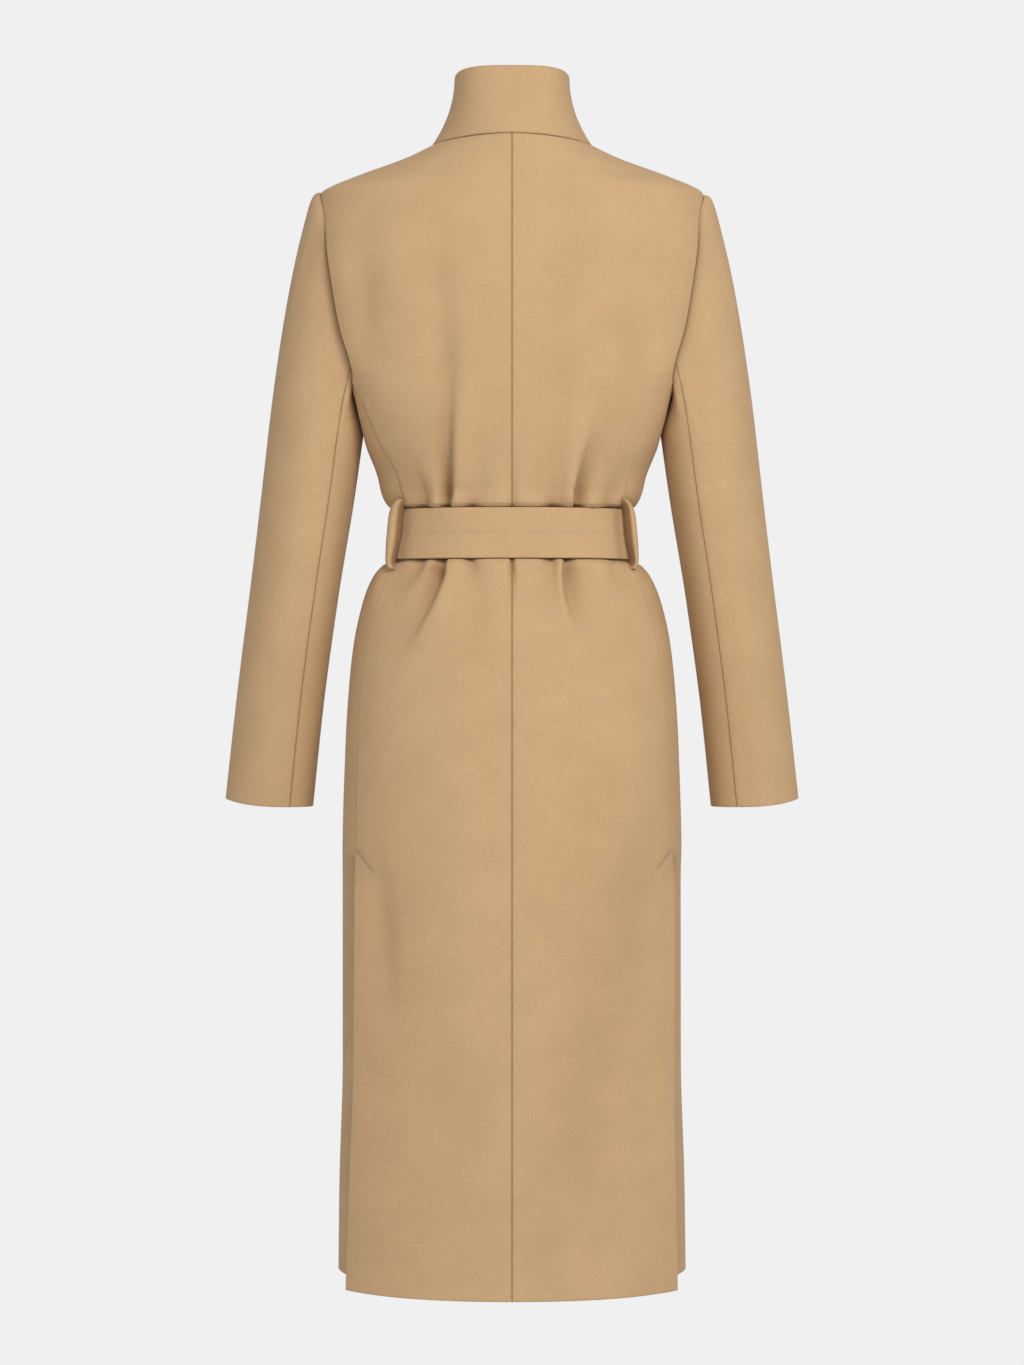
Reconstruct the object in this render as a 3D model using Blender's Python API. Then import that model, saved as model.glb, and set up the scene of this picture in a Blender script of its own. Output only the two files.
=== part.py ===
"""A long belted coat of thick wool in its worn, hollow form: solids for its cut panels, collar and belt.

Metres, +Z up. The wearer faces -Y and the wearer's left is +X. The origin is at the base of the neck,
level with the side neck points. An angle round the body is measured from the centre back, positive
towards the wearer's left, so the centre front is at 180 degrees.
"""
import math

import bpy
import numpy as np

# Cloth
CLOTH_WALL = 0.0025
COLLAR_WALL = 0.0045
BELT_WALL = 0.0045
SEAM_GAP = 0.0003
LAYER_GAP = 0.0018

# Lengths, as levels below the origin
SHOULDER_TIP = -0.0485
SIDE_SEAM_TOP = -0.2484
BELT_TOP = -0.3755
BELT_BOTTOM = -0.4275
WAIST_LINE = (BELT_TOP + BELT_BOTTOM) / 2
VENT_TOP = -0.7230
FRONT_HEM = -1.1570
BACK_HEM = -1.1715
HEM_CORNER_RISE = 0.0025
CUFF = -0.6775

# Neck
NECK_BACK_RISE = 0.0035
NECK_FRONT_DROP = 0.0500
NECK_DROP_REACH = 0.1600
NECK_DROP_POWER = 1.4
COLLAR_TOP_BACK = 0.0735
COLLAR_TOP_FRONT = 0.0250
COLLAR_TOP_HALF_WIDTH = 0.0592
COLLAR_TOP_BACK_DEPTH = 0.0690
COLLAR_TOP_FRONT_DEPTH = 0.0650
COLLAR_SIDE_DROP = 0.0045
COLLAR_FLARE_POWER = 2.0
COLLAR_SIDE_DROP_POWER = 4
COLLAR_SQUARENESS = 2.9

# Front wrap, right over left: the right edge lies past the centre front by the overlap
WRAP_COLUMNS = ("level", "overlap")
WRAP = (
    (-0.2000, 0.0680),
    (-0.1000, 0.0560),
    (0.0000, 0.0340),
)
WRAP_STEP_START = math.radians(32)
WRAP_STEP_END = math.radians(9)

# Vents at the side seams
VENT_UNDERLAP = 0.0200
VENT_SLOPE = 0.0250
VENT_STEP_WIDTH = 0.0450
VENT_STEP_FLAT = 0.25

# Hollow under each arm, where arm and body press the cloth in
UNDERARM_DEPTH = 0.0300
UNDERARM_ANGLE = math.radians(97)
UNDERARM_SPREAD = math.radians(24)
UNDERARM_LEVEL = -0.2560
UNDERARM_HEIGHT = 0.0420

# Body sections: squareness 2 is an ellipse, more is boxier
RING_COLUMNS = ("level", "half_width", "back_depth", "front_depth", "squareness")
RINGS = (
    (-1.1800, 0.1796, 0.1250, 0.1250, 2.40),
    (-1.0660, 0.1780, 0.1255, 0.1255, 2.40),
    (-0.9400, 0.1745, 0.1260, 0.1255, 2.40),
    (-0.7300, 0.1745, 0.1265, 0.1240, 2.40),
    (-0.6120, 0.1712, 0.1265, 0.1220, 2.40),
    (-0.5500, 0.1672, 0.1240, 0.1190, 2.35),
    (-0.5090, 0.1624, 0.1190, 0.1150, 2.30),
    (-0.4680, 0.1530, 0.1085, 0.1075, 2.25),
    (-0.4470, 0.1445, 0.1010, 0.1010, 2.20),
    (-0.4325, 0.1335, 0.0935, 0.0938, 2.20),
    (-0.4275, 0.1240, 0.0890, 0.0920, 2.20),
    (-0.3755, 0.1195, 0.0860, 0.0900, 2.20),
    (-0.3710, 0.1275, 0.0905, 0.0925, 2.20),
    (-0.3600, 0.1335, 0.0945, 0.0990, 2.25),
    (-0.3400, 0.1390, 0.0985, 0.1080, 2.30),
    (-0.3030, 0.1590, 0.1040, 0.1170, 2.45),
    (-0.2700, 0.1790, 0.1060, 0.1210, 2.55),
    (-0.2484, 0.1870, 0.1065, 0.1220, 2.60),
    (-0.2270, 0.1900, 0.1065, 0.1215, 2.60),
    (-0.1950, 0.1920, 0.1060, 0.1180, 2.60),
    (-0.1480, 0.1965, 0.1040, 0.1130, 2.55),
    (-0.1100, 0.1995, 0.1010, 0.1060, 2.50),
    (-0.0750, 0.1995, 0.0970, 0.0980, 2.20),
    (-0.0485, 0.1965, 0.0930, 0.0910, 1.85),
    (-0.0420, 0.1865, 0.0912, 0.0894, 1.78),
    (-0.0300, 0.1570, 0.0870, 0.0860, 1.65),
    (-0.0120, 0.1078, 0.0830, 0.0800, 1.68),
    (0.0000, 0.0828, 0.0785, 0.0740, 1.75),
    (0.0050, 0.0724, 0.0768, 0.0718, 1.78),
)

# Side seam, in degrees from the centre back on each side
SIDE_SEAM_COLUMNS = ("level", "left", "right")
SIDE_SEAM = (
    (-1.1715, 72.6, 72.0),
    (-1.0500, 70.5, 71.5),
    (-0.9000, 69.3, 73.0),
    (-0.7600, 68.6, 73.6),
    (-0.7200, 68.3, 71.0),
    (-0.5500, 68.8, 69.0),
    (-0.4700, 68.2, 68.0),
    (-0.4275, 69.5, 69.0),
    (-0.3755, 64.0, 66.0),
    (-0.3450, 64.0, 65.5),
    (-0.3030, 66.2, 67.0),
    (-0.2700, 68.5, 68.8),
    (-0.2484, 72.5, 72.5),
)

# Armhole edge of the back panel, and of the front panel from the side seam up to the shoulder tip
ARMHOLE_BACK_COLUMNS = ("level", "angle")
ARMHOLE_BACK = (
    (-0.2484, 72.5),
    (-0.2400, 70.4),
    (-0.2267, 70.2),
    (-0.1948, 72.0),
    (-0.1484, 74.5),
    (-0.1092, 77.0),
    (-0.0700, 82.0),
    (-0.0485, 90.0),
)
ARMHOLE_FRONT_COLUMNS = ("share", "angle", "level")
ARMHOLE_FRONT = (
    (0.00, 72.5, -0.2484),
    (0.08, 78.0, -0.2510),
    (0.18, 87.0, -0.2505),
    (0.30, 97.0, -0.2400),
    (0.45, 106.5, -0.2080),
    (0.60, 109.0, -0.1640),
    (0.75, 106.5, -0.1150),
    (0.88, 99.5, -0.0750),
    (1.00, 90.0, -0.0485),
)

# Sleeve sections below the cap
SLEEVE_COLUMNS = ("level", "centre_x", "centre_y", "half_width", "half_depth")
SLEEVE_RINGS = (
    (-0.6775, 0.2530, -0.0440, 0.0456, 0.0435),
    (-0.5710, 0.2405, -0.0260, 0.0452, 0.0490),
    (-0.4675, 0.2262, -0.0120, 0.0458, 0.0550),
    (-0.3640, 0.2112, -0.0060, 0.0481, 0.0600),
    (-0.3000, 0.2029, -0.0040, 0.0491, 0.0620),
)
SLEEVE_CAP_END = -0.3000

# Where a place on the armhole comes to lie round the sleeve: share 0 at the shoulder tip, 1 at the side
# seam, 2 at the tip again; angle 0 outside, 90 back, 180 inside, 270 front; aside and fall say how much
# the cloth leaves the armhole sideways and downwards, reach and draw how firmly it keeps its way at the
# armhole and at the end of the cap
SLEEVE_TURN_COLUMNS = ("share", "angle", "aside", "fall", "reach", "draw")
SLEEVE_TURN = (
    (0.00, 0.0, 2.40, 0.00, 0.074, 0.25),
    (0.30, 50.0, 0.90, 0.05, 0.062, 0.15),
    (0.64, 92.0, 0.90, 0.25, 0.050, 0.10),
    (0.88, 118.0, 0.40, 0.70, 0.040, 0.07),
    (1.00, 134.0, 0.90, 0.75, 0.035, 0.05),
    (1.10, 156.0, 0.70, 1.00, 0.040, 0.05),
    (1.20, 178.0, 0.50, 1.00, 0.040, 0.05),
    (1.30, 200.0, 0.50, 1.00, 0.040, 0.05),
    (1.45, 232.0, 0.80, 0.50, 0.040, 0.08),
    (1.60, 264.0, 0.80, 0.25, 0.050, 0.12),
    (1.80, 312.0, 0.90, 0.05, 0.070, 0.17),
    (2.00, 360.0, 2.40, 0.00, 0.074, 0.25),
)
SLEEVE_LEFT_SEAM = 0.9066
SLEEVE_BACK_SEAM_STEPS = {"left": 10, "right": 9}
SLEEVE_FRONT_SEAM_STEP = 4
SLEEVE_CUFF_TILT = 0.0035
SLEEVE_HEAD_SWELL = 0.0022
SLEEVE_HEAD_LIFT = 0.0034
SLEEVE_HEAD_SHARE = 0.35
SLEEVE_HEAD_PLACE = 0.10
SLEEVE_HEAD_LENGTH = 0.14
SLEEVE_WAY_LENGTH = 0.0200
ARMHOLE_CENTRE = (0.1900, 0.0, -0.1500)
ARMHOLE_TIP_SHARE = 0.25
UNDERARM_GAP = 0.0010

# Folds drawn in by the belt: a rising length runs up from the belt's top edge, a falling one down from
# its bottom edge, and the ridge stands on the side of the trough that its sign gives
FOLD_COLUMNS = ("angle_at_belt", "angle_at_end", "length", "depth", "half_width", "ridge_side")
FOLDS = (
    (41.5, 33.0, 0.130, 0.0085, 0.014, -1),
    (-41.5, -43.5, 0.120, 0.0085, 0.014, 1),
    (56.0, 57.0, 0.060, 0.0040, 0.012, -1),
    (-25.0, -23.0, 0.080, 0.0030, 0.014, -1),
    (112.0, 118.0, 0.110, 0.0060, 0.016, 1),
    (-118.0, -122.0, 0.120, 0.0065, 0.016, -1),
    (41.5, 50.0, -0.120, 0.0080, 0.014, -1),
    (60.0, 63.0, -0.065, 0.0040, 0.012, -1),
    (-32.0, -38.0, -0.105, 0.0070, 0.014, 1),
    (-57.0, -60.0, -0.060, 0.0035, 0.013, 1),
    (112.0, 109.0, -0.120, 0.0060, 0.017, 1),
    (-112.0, -108.0, -0.110, 0.0060, 0.017, -1),
)
FOLD_RIDGE_SHARE = 0.55
FOLD_RIDGE_OFFSET = 1.5
FOLD_RIDGE_WIDTH = 0.8
FOLD_EDGE_FADE = 0.014
FOLD_FADE_POWER = 1.3

# Belt, its knot and hanging ends
BELT_CLEAR = 0.0010
KNOT_WIDTH = 0.0560
KNOT_HEIGHT = 0.0600
KNOT_DEPTH = 0.0260
KNOT_WAIST = 0.16
KNOT_END_POWER = 0.45
KNOT_SIDE_POWER = 0.6
KNOT_FACE_POWER = 0.7
TAIL_LENGTHS = {"left": 0.4300, "right": 0.4700}
TAIL_NECK_WIDTH = 0.0270
TAIL_WIDTH = 0.0510
TAIL_OPENING = 0.0700
TAIL_NECK_OFFSET = 0.0150
TAIL_OPENING_OFFSET = 0.0120
TAIL_END_OFFSET = 0.0440
TAIL_SPREAD_SHARE = 1.2
TAIL_CLEAR = 0.0040
TAIL_NECK_LIFT = 0.0060

# Belt loops; the angle is that of their sewn ends from the centre back
LOOP_ANGLE = math.radians(66.3)
LOOP_FORM_COLUMNS = ("rise", "width", "back")
LOOP_FORM = (
    (0.00, 0.0085, 0.0045),
    (0.12, 0.0130, 0.0012),
    (0.27, 0.0142, -0.0006),
    (0.54, 0.0142, -0.0012),
    (0.75, 0.0118, -0.0024),
    (0.90, 0.0095, -0.0030),
    (1.00, 0.0080, -0.0008),
)
LOOP_WALL = 0.0026
LOOP_CLEAR = 0.0008
LOOP_OVERHANG = 0.0095
LOOP_ARCH = 0.14
LOOP_STAND = 0.0030
LOOP_TWIST = math.radians(30)
LOOP_ROUND = 0.0030

# Panel rows and columns
SHOULDER_LEVELS = (0.0, -0.0080, -0.0190, -0.0320, SHOULDER_TIP)
ARMHOLE_BACK_STEPS = 10
ARMHOLE_FRONT_STEPS = 12
ARMHOLE_CROWDING = 1.25
SIDE_LEVELS_ABOVE_BELT = (-0.2700, -0.2920, -0.3140, -0.3340, -0.3500, -0.3620, -0.3710)
SIDE_LEVELS_BELOW_BELT = (
    -0.4325, -0.4400, -0.4500, -0.4640, -0.4820, -0.5040, -0.5300, -0.5650, -0.6150, -0.6700, VENT_TOP,
    -0.7480, -0.7730, -0.8300, -0.9000, -0.9800, -1.0660,
)
CENTRE_FRONT_ARMHOLE_END = -0.2950
BACK_COLUMNS = 13
FRONT_COLUMNS = 12
SLEEVE_CAP_ROWS = 7
SLEEVE_ARM_ROWS = 9
COLLAR_ROWS = 6
BELT_COLUMNS = 60
BELT_ROWS = 2
LOOP_ROWS = 14
LOOP_COLUMNS = 5
KNOT_ROWS = 12
KNOT_COLUMNS = 18
TAIL_ROWS = 16
TAIL_COLUMNS = 4

# Looks
CAMEL = (0.550, 0.360, 0.190, 1.0)
WOOL_ROUGHNESS = 0.85
SIDES = {"left": 1.0, "right": -1.0}
SHARP_EDGE = math.radians(50)

# Small steps for finding slopes: angle, level, armhole share, place down the sleeve
ANGLE_STEP = 0.0008
LEVEL_STEP = 0.0002
SHARE_STEP = 0.004
DOWN_STEP = 0.01


def columns(names, rows):
    """A table's columns by name."""
    return dict(zip(names, np.array(rows, dtype=float).T))


RING = columns(RING_COLUMNS, RINGS)
SEAM = columns(SIDE_SEAM_COLUMNS, SIDE_SEAM)
HOLE_BACK = columns(ARMHOLE_BACK_COLUMNS, ARMHOLE_BACK)
HOLE_FRONT = columns(ARMHOLE_FRONT_COLUMNS, ARMHOLE_FRONT)
SLEEVE = columns(SLEEVE_COLUMNS, SLEEVE_RINGS)
OVERLAP = columns(WRAP_COLUMNS, WRAP)
TURN = columns(SLEEVE_TURN_COLUMNS, SLEEVE_TURN)
LOOP = columns(LOOP_FORM_COLUMNS, LOOP_FORM)


def smooth(at, places, values):
    """Monotone cubic through a table column, held at its ends."""
    at = np.clip(np.asarray(at, dtype=float), places[0], places[-1])
    step = np.diff(places)
    slope = np.diff(values) / step
    same_way = slope[:-1] * slope[1:] > 0
    total = np.where(same_way, slope[:-1] + slope[1:], 1.0)
    tangent = np.empty_like(values)
    tangent[1:-1] = np.where(same_way, 2 * slope[:-1] * slope[1:] / total, 0.0)
    tangent[0] = slope[0]
    tangent[-1] = slope[-1]
    i = np.clip(np.searchsorted(places, at, side="right") - 1, 0, len(step) - 1)
    u = (at - places[i]) / step[i]
    rise = values[i + 1] - values[i]
    start = step[i] * tangent[i]
    end = step[i] * tangent[i + 1]
    return values[i] + u * (start + u * ((3 * rise - 2 * start - end) + u * (start + end - 2 * rise)))


def ramp(value, low, high):
    """0 below low, 1 above high, with a soft start and end."""
    u = np.clip((value - low) / (high - low), 0.0, 1.0)
    return u * u * (3 - 2 * u)


def bump(value, width):
    """1 at zero, falling softly to both sides."""
    return np.exp(-(value / width) ** 2)


def unit(vectors):
    return vectors / np.linalg.norm(vectors, axis=-1, keepdims=True)


def oval(angle, half_width, back_depth, front_depth, squareness):
    """Plan point of a superellipse at a polar angle from +Y."""
    s = np.sin(angle)
    c = np.cos(angle)
    depth = np.where(c > 0, back_depth, front_depth)
    total = np.abs(s / half_width) ** squareness + np.abs(c / depth) ** squareness
    radius = total ** (-1.0 / squareness)
    return radius * s, radius * c


def neck_drop(angle, level):
    """How far a ring falls towards the front and rises at the back near the neck."""
    reach = 1.0 - ramp(-level, 0.0, NECK_DROP_REACH)
    c = np.cos(angle)
    front = np.maximum(-c, 0.0) ** NECK_DROP_POWER
    return reach * (NECK_FRONT_DROP * front - NECK_BACK_RISE * np.maximum(c, 0.0) ** 2)


def body_form(angle, level):
    """Point of the body's outside before the folds."""
    angle, level = np.broadcast_arrays(np.asarray(angle, float), np.asarray(level, float))
    sizes = [smooth(level, RING["level"], RING[name]) for name in RING_COLUMNS[1:]]
    x, y = oval(angle, *sizes)
    turned = np.abs((angle + math.pi) % (2 * math.pi) - math.pi)
    pinch = bump(turned - UNDERARM_ANGLE, UNDERARM_SPREAD) * bump(level - UNDERARM_LEVEL, UNDERARM_HEIGHT)
    x = x - np.sign(np.sin(angle)) * UNDERARM_DEPTH * pinch
    return np.stack([x, y, level - neck_drop(angle, level)], axis=-1)


def outward(surface, angle, level):
    """Outward unit normal of a surface given by angle and level."""
    across = surface(angle + ANGLE_STEP, level) - surface(angle - ANGLE_STEP, level)
    down = surface(angle, level - LEVEL_STEP) - surface(angle, level + LEVEL_STEP)
    return unit(np.cross(across, down))


def fold_height(angle, level):
    """Outward height of the gathers at the belt."""
    height = np.zeros(np.broadcast(angle, level).shape)
    for row in FOLDS:
        fold = dict(zip(FOLD_COLUMNS, row))
        rising = fold["length"] > 0
        away = (level - BELT_TOP) if rising else (BELT_BOTTOM - level)
        share = np.clip(away / abs(fold["length"]), 0.0, 1.0)
        lean = fold["angle_at_end"] - fold["angle_at_belt"]
        centre = np.radians(fold["angle_at_belt"] + lean * share)
        turned = (angle - centre + math.pi) % (2 * math.pi) - math.pi
        radius = smooth(level, RING["level"], RING["back_depth"])
        across = turned * radius / (fold["half_width"] * (1.0 + share))
        trough = bump(across, 1.0)
        ridge = bump(across - fold["ridge_side"] * FOLD_RIDGE_OFFSET, FOLD_RIDGE_WIDTH)
        envelope = ramp(away, 0.0, FOLD_EDGE_FADE) * (1.0 - share) ** FOLD_FADE_POWER
        height = height + fold["depth"] * envelope * (FOLD_RIDGE_SHARE * ridge - trough)
    return height


def body_cloth(angle, level):
    """Point of the body's outside with its folds."""
    height = fold_height(angle, level)
    return body_form(angle, level) + outward(body_form, angle, level) * height[..., None]


def side_seam_angle(side, level):
    return SIDES[side] * np.radians(smooth(level, SEAM["level"], SEAM[side]))


def arc_to_angle(distance, level):
    """Angle that spans a short distance round the body at a level."""
    return distance / smooth(level, RING["level"], RING["front_depth"])


def wrap_angle(level):
    """How far the right front's edge lies past the centre front."""
    return arc_to_angle(smooth(level, OVERLAP["level"], OVERLAP["overlap"]), level)


def wrap_step(angle, level):
    """0 clear of the wrap, 1 on the left side where the right edge covers it."""
    edge = math.pi - wrap_angle(level)
    return ramp(angle, edge - WRAP_STEP_START, edge - WRAP_STEP_END)


def front_step(side, angle, level):
    """How far a front panel lies inside the body's outside: at a vent, and the left one under the wrap."""
    turned = np.abs(angle)
    seam = np.abs(side_seam_angle(side, level))
    width = arc_to_angle(VENT_STEP_WIDTH, level)
    beside_vent = 1.0 - ramp(turned, seam + width * VENT_STEP_FLAT, seam + width)
    vent = ramp(VENT_TOP - level, 0.0, VENT_SLOPE) * beside_vent
    wrap = wrap_step(SIDES["left"] * turned, level) if side == "left" else np.zeros_like(turned)
    return (CLOTH_WALL + LAYER_GAP) * np.maximum(vent, wrap)


def front_cloth(side):
    """Outer surface of one front panel."""
    def surface(angle, level):
        step = front_step(side, angle, level)
        return body_cloth(angle, level) - outward(body_form, angle, level) * step[..., None]
    return surface


def walls(surface, angle, level, wall=CLOTH_WALL):
    """Outer and inner points of a cloth wall."""
    outer = surface(angle, level)
    return outer, outer - outward(surface, angle, level) * wall


def make_object(name, points, faces):
    """A closed mesh object with its faces turned outwards."""
    points = np.asarray(points, dtype=float)
    volume = 0.0
    for face in faces:
        for second, third in zip(face[1:], face[2:]):
            volume += np.dot(points[face[0]], np.cross(points[second], points[third]))
    if volume < 0:
        faces = [face[::-1] for face in faces]
    mesh = bpy.data.meshes.new(name)
    mesh.from_pydata(points.tolist(), [], [list(face) for face in faces])
    mesh.update()
    mesh.shade_smooth()
    mesh.set_sharp_from_angle(angle=SHARP_EDGE)
    mesh.materials.append(wool(name))
    item = bpy.data.objects.new(name, mesh)
    bpy.context.scene.collection.objects.link(item)
    return item


def wool(name):
    """Plain camel wool for one sub-part."""
    material = bpy.data.materials.new(name + "_wool")
    material.use_nodes = True
    shader = material.node_tree.nodes["Principled BSDF"]
    shader.inputs["Base Color"].default_value = CAMEL
    shader.inputs["Roughness"].default_value = WOOL_ROUGHNESS
    shader.inputs["Metallic"].default_value = 0.0
    material.diffuse_color = CAMEL
    return material


def wall_object(name, outer, inner, closed=False):
    """A cloth wall from two grids of points, rows down and columns across; closed joins the last column."""
    rows, across = outer.shape[:2]
    points = np.concatenate([outer.reshape(-1, 3), inner.reshape(-1, 3)])
    inside = rows * across
    faces = []
    spans = across if closed else across - 1
    for r in range(rows - 1):
        for c in range(spans):
            a = r * across + c
            b = r * across + (c + 1) % across
            corners = (a, a + across, b + across, b)
            falling = np.linalg.norm(points[a] - points[b + across])
            rising = np.linalg.norm(points[b] - points[a + across])
            turned = corners[1:] + corners[:1] if falling > rising else corners
            for triangle in (turned[:3], turned[2:] + turned[:1]):
                faces.append(triangle)
                faces.append(tuple(inside + i for i in triangle[::-1]))
    rims = [(r * across + c, r * across + (c + 1) % across, way)
            for c in range(spans) for r, way in ((0, 1), (rows - 1, -1))]
    if not closed:
        rims += [(r * across + c, (r + 1) * across + c, way)
                 for r in range(rows - 1) for c, way in ((0, -1), (across - 1, 1))]
    for a, b, way in rims:
        faces.append((a, b, inside + b)[::way])
        faces.append((a, inside + b, inside + a)[::way])
    return make_object(name, points, faces)


def inset_edge(surface, angle, level, towards):
    """Angle moved half a seam gap in from a panel's edge; towards is the sign of the way in."""
    span = surface(angle + ANGLE_STEP, level) - surface(angle - ANGLE_STEP, level)
    speed = np.linalg.norm(span, axis=-1) / (2 * ANGLE_STEP)
    return angle + towards * SEAM_GAP / 2 / speed


def back_shares():
    """Places of the rows down the back armhole edge, closest at the tip, with the left sleeve's seam."""
    even = np.linspace(0, 1, ARMHOLE_BACK_STEPS + 1) ** ARMHOLE_CROWDING
    return np.sort(np.append(even, SLEEVE_LEFT_SEAM))


def front_shares():
    """Places of the rows up the front armhole edge, closest at the shoulder tip."""
    return 1 - np.linspace(1, 0, ARMHOLE_FRONT_STEPS + 1) ** ARMHOLE_CROWDING


def armhole_back(share):
    """Angle and level of the back panel's armhole edge, from the shoulder tip down."""
    level = SHOULDER_TIP + (SIDE_SEAM_TOP - SHOULDER_TIP) * np.asarray(share, float)
    return np.radians(smooth(level, HOLE_BACK["level"], HOLE_BACK["angle"])), level


def armhole_front(share):
    """Angle and level of the front panel's armhole edge, from the side seam up to the shoulder tip."""
    angle = np.radians(smooth(share, HOLE_FRONT["share"], HOLE_FRONT["angle"]))
    return angle, smooth(share, HOLE_FRONT["share"], HOLE_FRONT["level"])


def side_levels(hem):
    """Levels of the rows down the side seam, with the belt's edges and the waist line among them."""
    belt = (BELT_TOP, WAIST_LINE, BELT_BOTTOM)
    return np.array(SIDE_LEVELS_ABOVE_BELT + belt + SIDE_LEVELS_BELOW_BELT + (hem,))


def outer_edge(side, hem, hole_angle, hole_level):
    """Angles and levels of a panel's outer edge: shoulder seam, armhole, side seam."""
    shoulder_level = np.array(SHOULDER_LEVELS)
    seam_level = side_levels(hem)
    seam_angle = np.abs(side_seam_angle(side, seam_level))
    angle = np.concatenate([np.full(len(shoulder_level), math.pi / 2), hole_angle, seam_angle])
    return angle, np.concatenate([shoulder_level, hole_level, seam_level])


def back_grid(side):
    """Angles and levels of a back panel's points."""
    angle, level = outer_edge(side, BACK_HEM, *armhole_back(back_shares()[1:]))
    sign = SIDES[side]
    edge = inset_edge(body_cloth, sign * angle, level, -sign)
    centre = inset_edge(body_cloth, np.zeros_like(level), level, sign)
    across = np.linspace(0, 1, BACK_COLUMNS)
    levels = np.repeat(level[:, None], BACK_COLUMNS, 1)
    levels[-1] += HEM_CORNER_RISE * across ** 2
    return centre[:, None] + (edge - centre)[:, None] * across, levels


def front_grid(side):
    """Angles and levels of a front panel's points."""
    angle, level = outer_edge(side, FRONT_HEM, *armhole_front(front_shares()[::-1][1:]))
    sign = SIDES[side]
    surface = front_cloth(side)
    underlap = ramp(VENT_TOP - VENT_SLOPE - level, 0.0, VENT_SLOPE)
    angle = angle - arc_to_angle(VENT_UNDERLAP, level) * underlap
    edge = inset_edge(surface, sign * angle, level, sign)
    first = len(SHOULDER_LEVELS) - 1
    last = first + ARMHOLE_FRONT_STEPS
    belt_row = last + len(SIDE_LEVELS_ABOVE_BELT) + 1
    rows = np.arange(len(level))
    centre_level = level.copy()
    centre_level[first:last + 1] = np.linspace(SHOULDER_TIP, CENTRE_FRONT_ARMHOLE_END, last - first + 1)
    between = (rows[last:belt_row + 1] - last) / (belt_row - last)
    to_belt = BELT_TOP - CENTRE_FRONT_ARMHOLE_END
    centre_level[last:belt_row + 1] = CENTRE_FRONT_ARMHOLE_END + between * to_belt
    centre = sign * (math.pi + wrap_angle(centre_level))
    across = np.linspace(0, 1, FRONT_COLUMNS)
    angles = edge[:, None] + (centre - edge)[:, None] * across
    return angles, level[:, None] + (centre_level - level)[:, None] * across


def sleeve_turn(share, column):
    """A column of the sleeve's turn at a place on the armhole."""
    return smooth(share, TURN["share"], TURN[column])


def armhole_point(side, share):
    """Point, outward normal and way into the hole on the armhole; share 0 to 1 back, 1 to 2 front."""
    share = np.mod(share, 2.0)
    back_angle, back_level = armhole_back(np.clip(share, 0, 1))
    front_angle, front_level = armhole_front(np.clip(share - 1, 0, 1))
    angle = SIDES[side] * np.where(share < 1, back_angle, front_angle)
    level = np.where(share < 1, back_level, front_level)
    point = body_cloth(angle, level)
    normal = outward(body_cloth, angle, level)
    inward = np.array(ARMHOLE_CENTRE) * (SIDES[side], 1, 1) - point
    from_tip = np.minimum(share, 2 - share)
    inward[..., 2] *= 1 - ramp(from_tip, 0, ARMHOLE_TIP_SHARE)
    return point, normal, unit(inward - normal * np.sum(inward * normal, axis=-1, keepdims=True))


def sleeve_ring(side, turn, level):
    """Point on a sleeve section below the cap."""
    sizes = {name: smooth(level, SLEEVE["level"], SLEEVE[name]) for name in SLEEVE_COLUMNS[1:]}
    x = SIDES[side] * (sizes["centre_x"] + sizes["half_width"] * np.cos(turn))
    y = sizes["centre_y"] + sizes["half_depth"] * np.sin(turn)
    drop = (SLEEVE_CAP_END - level) / (SLEEVE_CAP_END - CUFF)
    return np.stack([x, y, level + SLEEVE_CUFF_TILT * drop * np.cos(turn)], axis=-1)


def sleeve_cloth(side, share, down):
    """Outer surface of a sleeve: down 0 to 1 is the cap, 1 to 2 the arm."""
    share, down = np.broadcast_arrays(np.asarray(share, float), np.asarray(down, float))
    turns = {name: sleeve_turn(np.mod(share, 2.0), name) for name in SLEEVE_TURN_COLUMNS[1:]}
    turn = np.radians(turns["angle"])
    low = turns["fall"][..., None]
    point, normal, into = armhole_point(side, share)
    aside = np.array([SIDES[side], 0.0, 0.0]) * turns["aside"][..., None]
    fall = np.array([0.0, 0.0, -1.0]) * low
    leave = unit(into * (1 - low) + aside + fall)
    start = point + leave * SEAM_GAP + normal * UNDERARM_GAP * low
    cap_end = np.full(turn.shape, SLEEVE_CAP_END)
    ring = sleeve_ring(side, turn, cap_end)
    ring_way = unit(sleeve_ring(side, turn, cap_end - SLEEVE_WAY_LENGTH) - ring)
    reach = leave * turns["reach"][..., None]
    draw = ring_way * turns["draw"][..., None]
    u = np.clip(down, 0, 1)[..., None]
    cap = (2 * u ** 3 - 3 * u ** 2 + 1) * start + (u ** 3 - 2 * u ** 2 + u) * reach
    cap = cap + (3 * u ** 2 - 2 * u ** 3) * ring + (u ** 3 - u ** 2) * draw
    from_tip = np.mod(share + 1, 2.0) - 1
    head = bump(from_tip, SLEEVE_HEAD_SHARE)[..., None] * bump(u - SLEEVE_HEAD_PLACE, SLEEVE_HEAD_LENGTH)
    swell = (SIDES[side] * SLEEVE_HEAD_SWELL, 0.0, SLEEVE_HEAD_LIFT)
    cap = cap + (head * ramp(u, 0, SLEEVE_HEAD_PLACE)) * swell
    arm = sleeve_ring(side, turn, SLEEVE_CAP_END + (CUFF - SLEEVE_CAP_END) * np.clip(down - 1, 0, 1))
    return np.where((down <= 1)[..., None], cap, arm)


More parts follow.
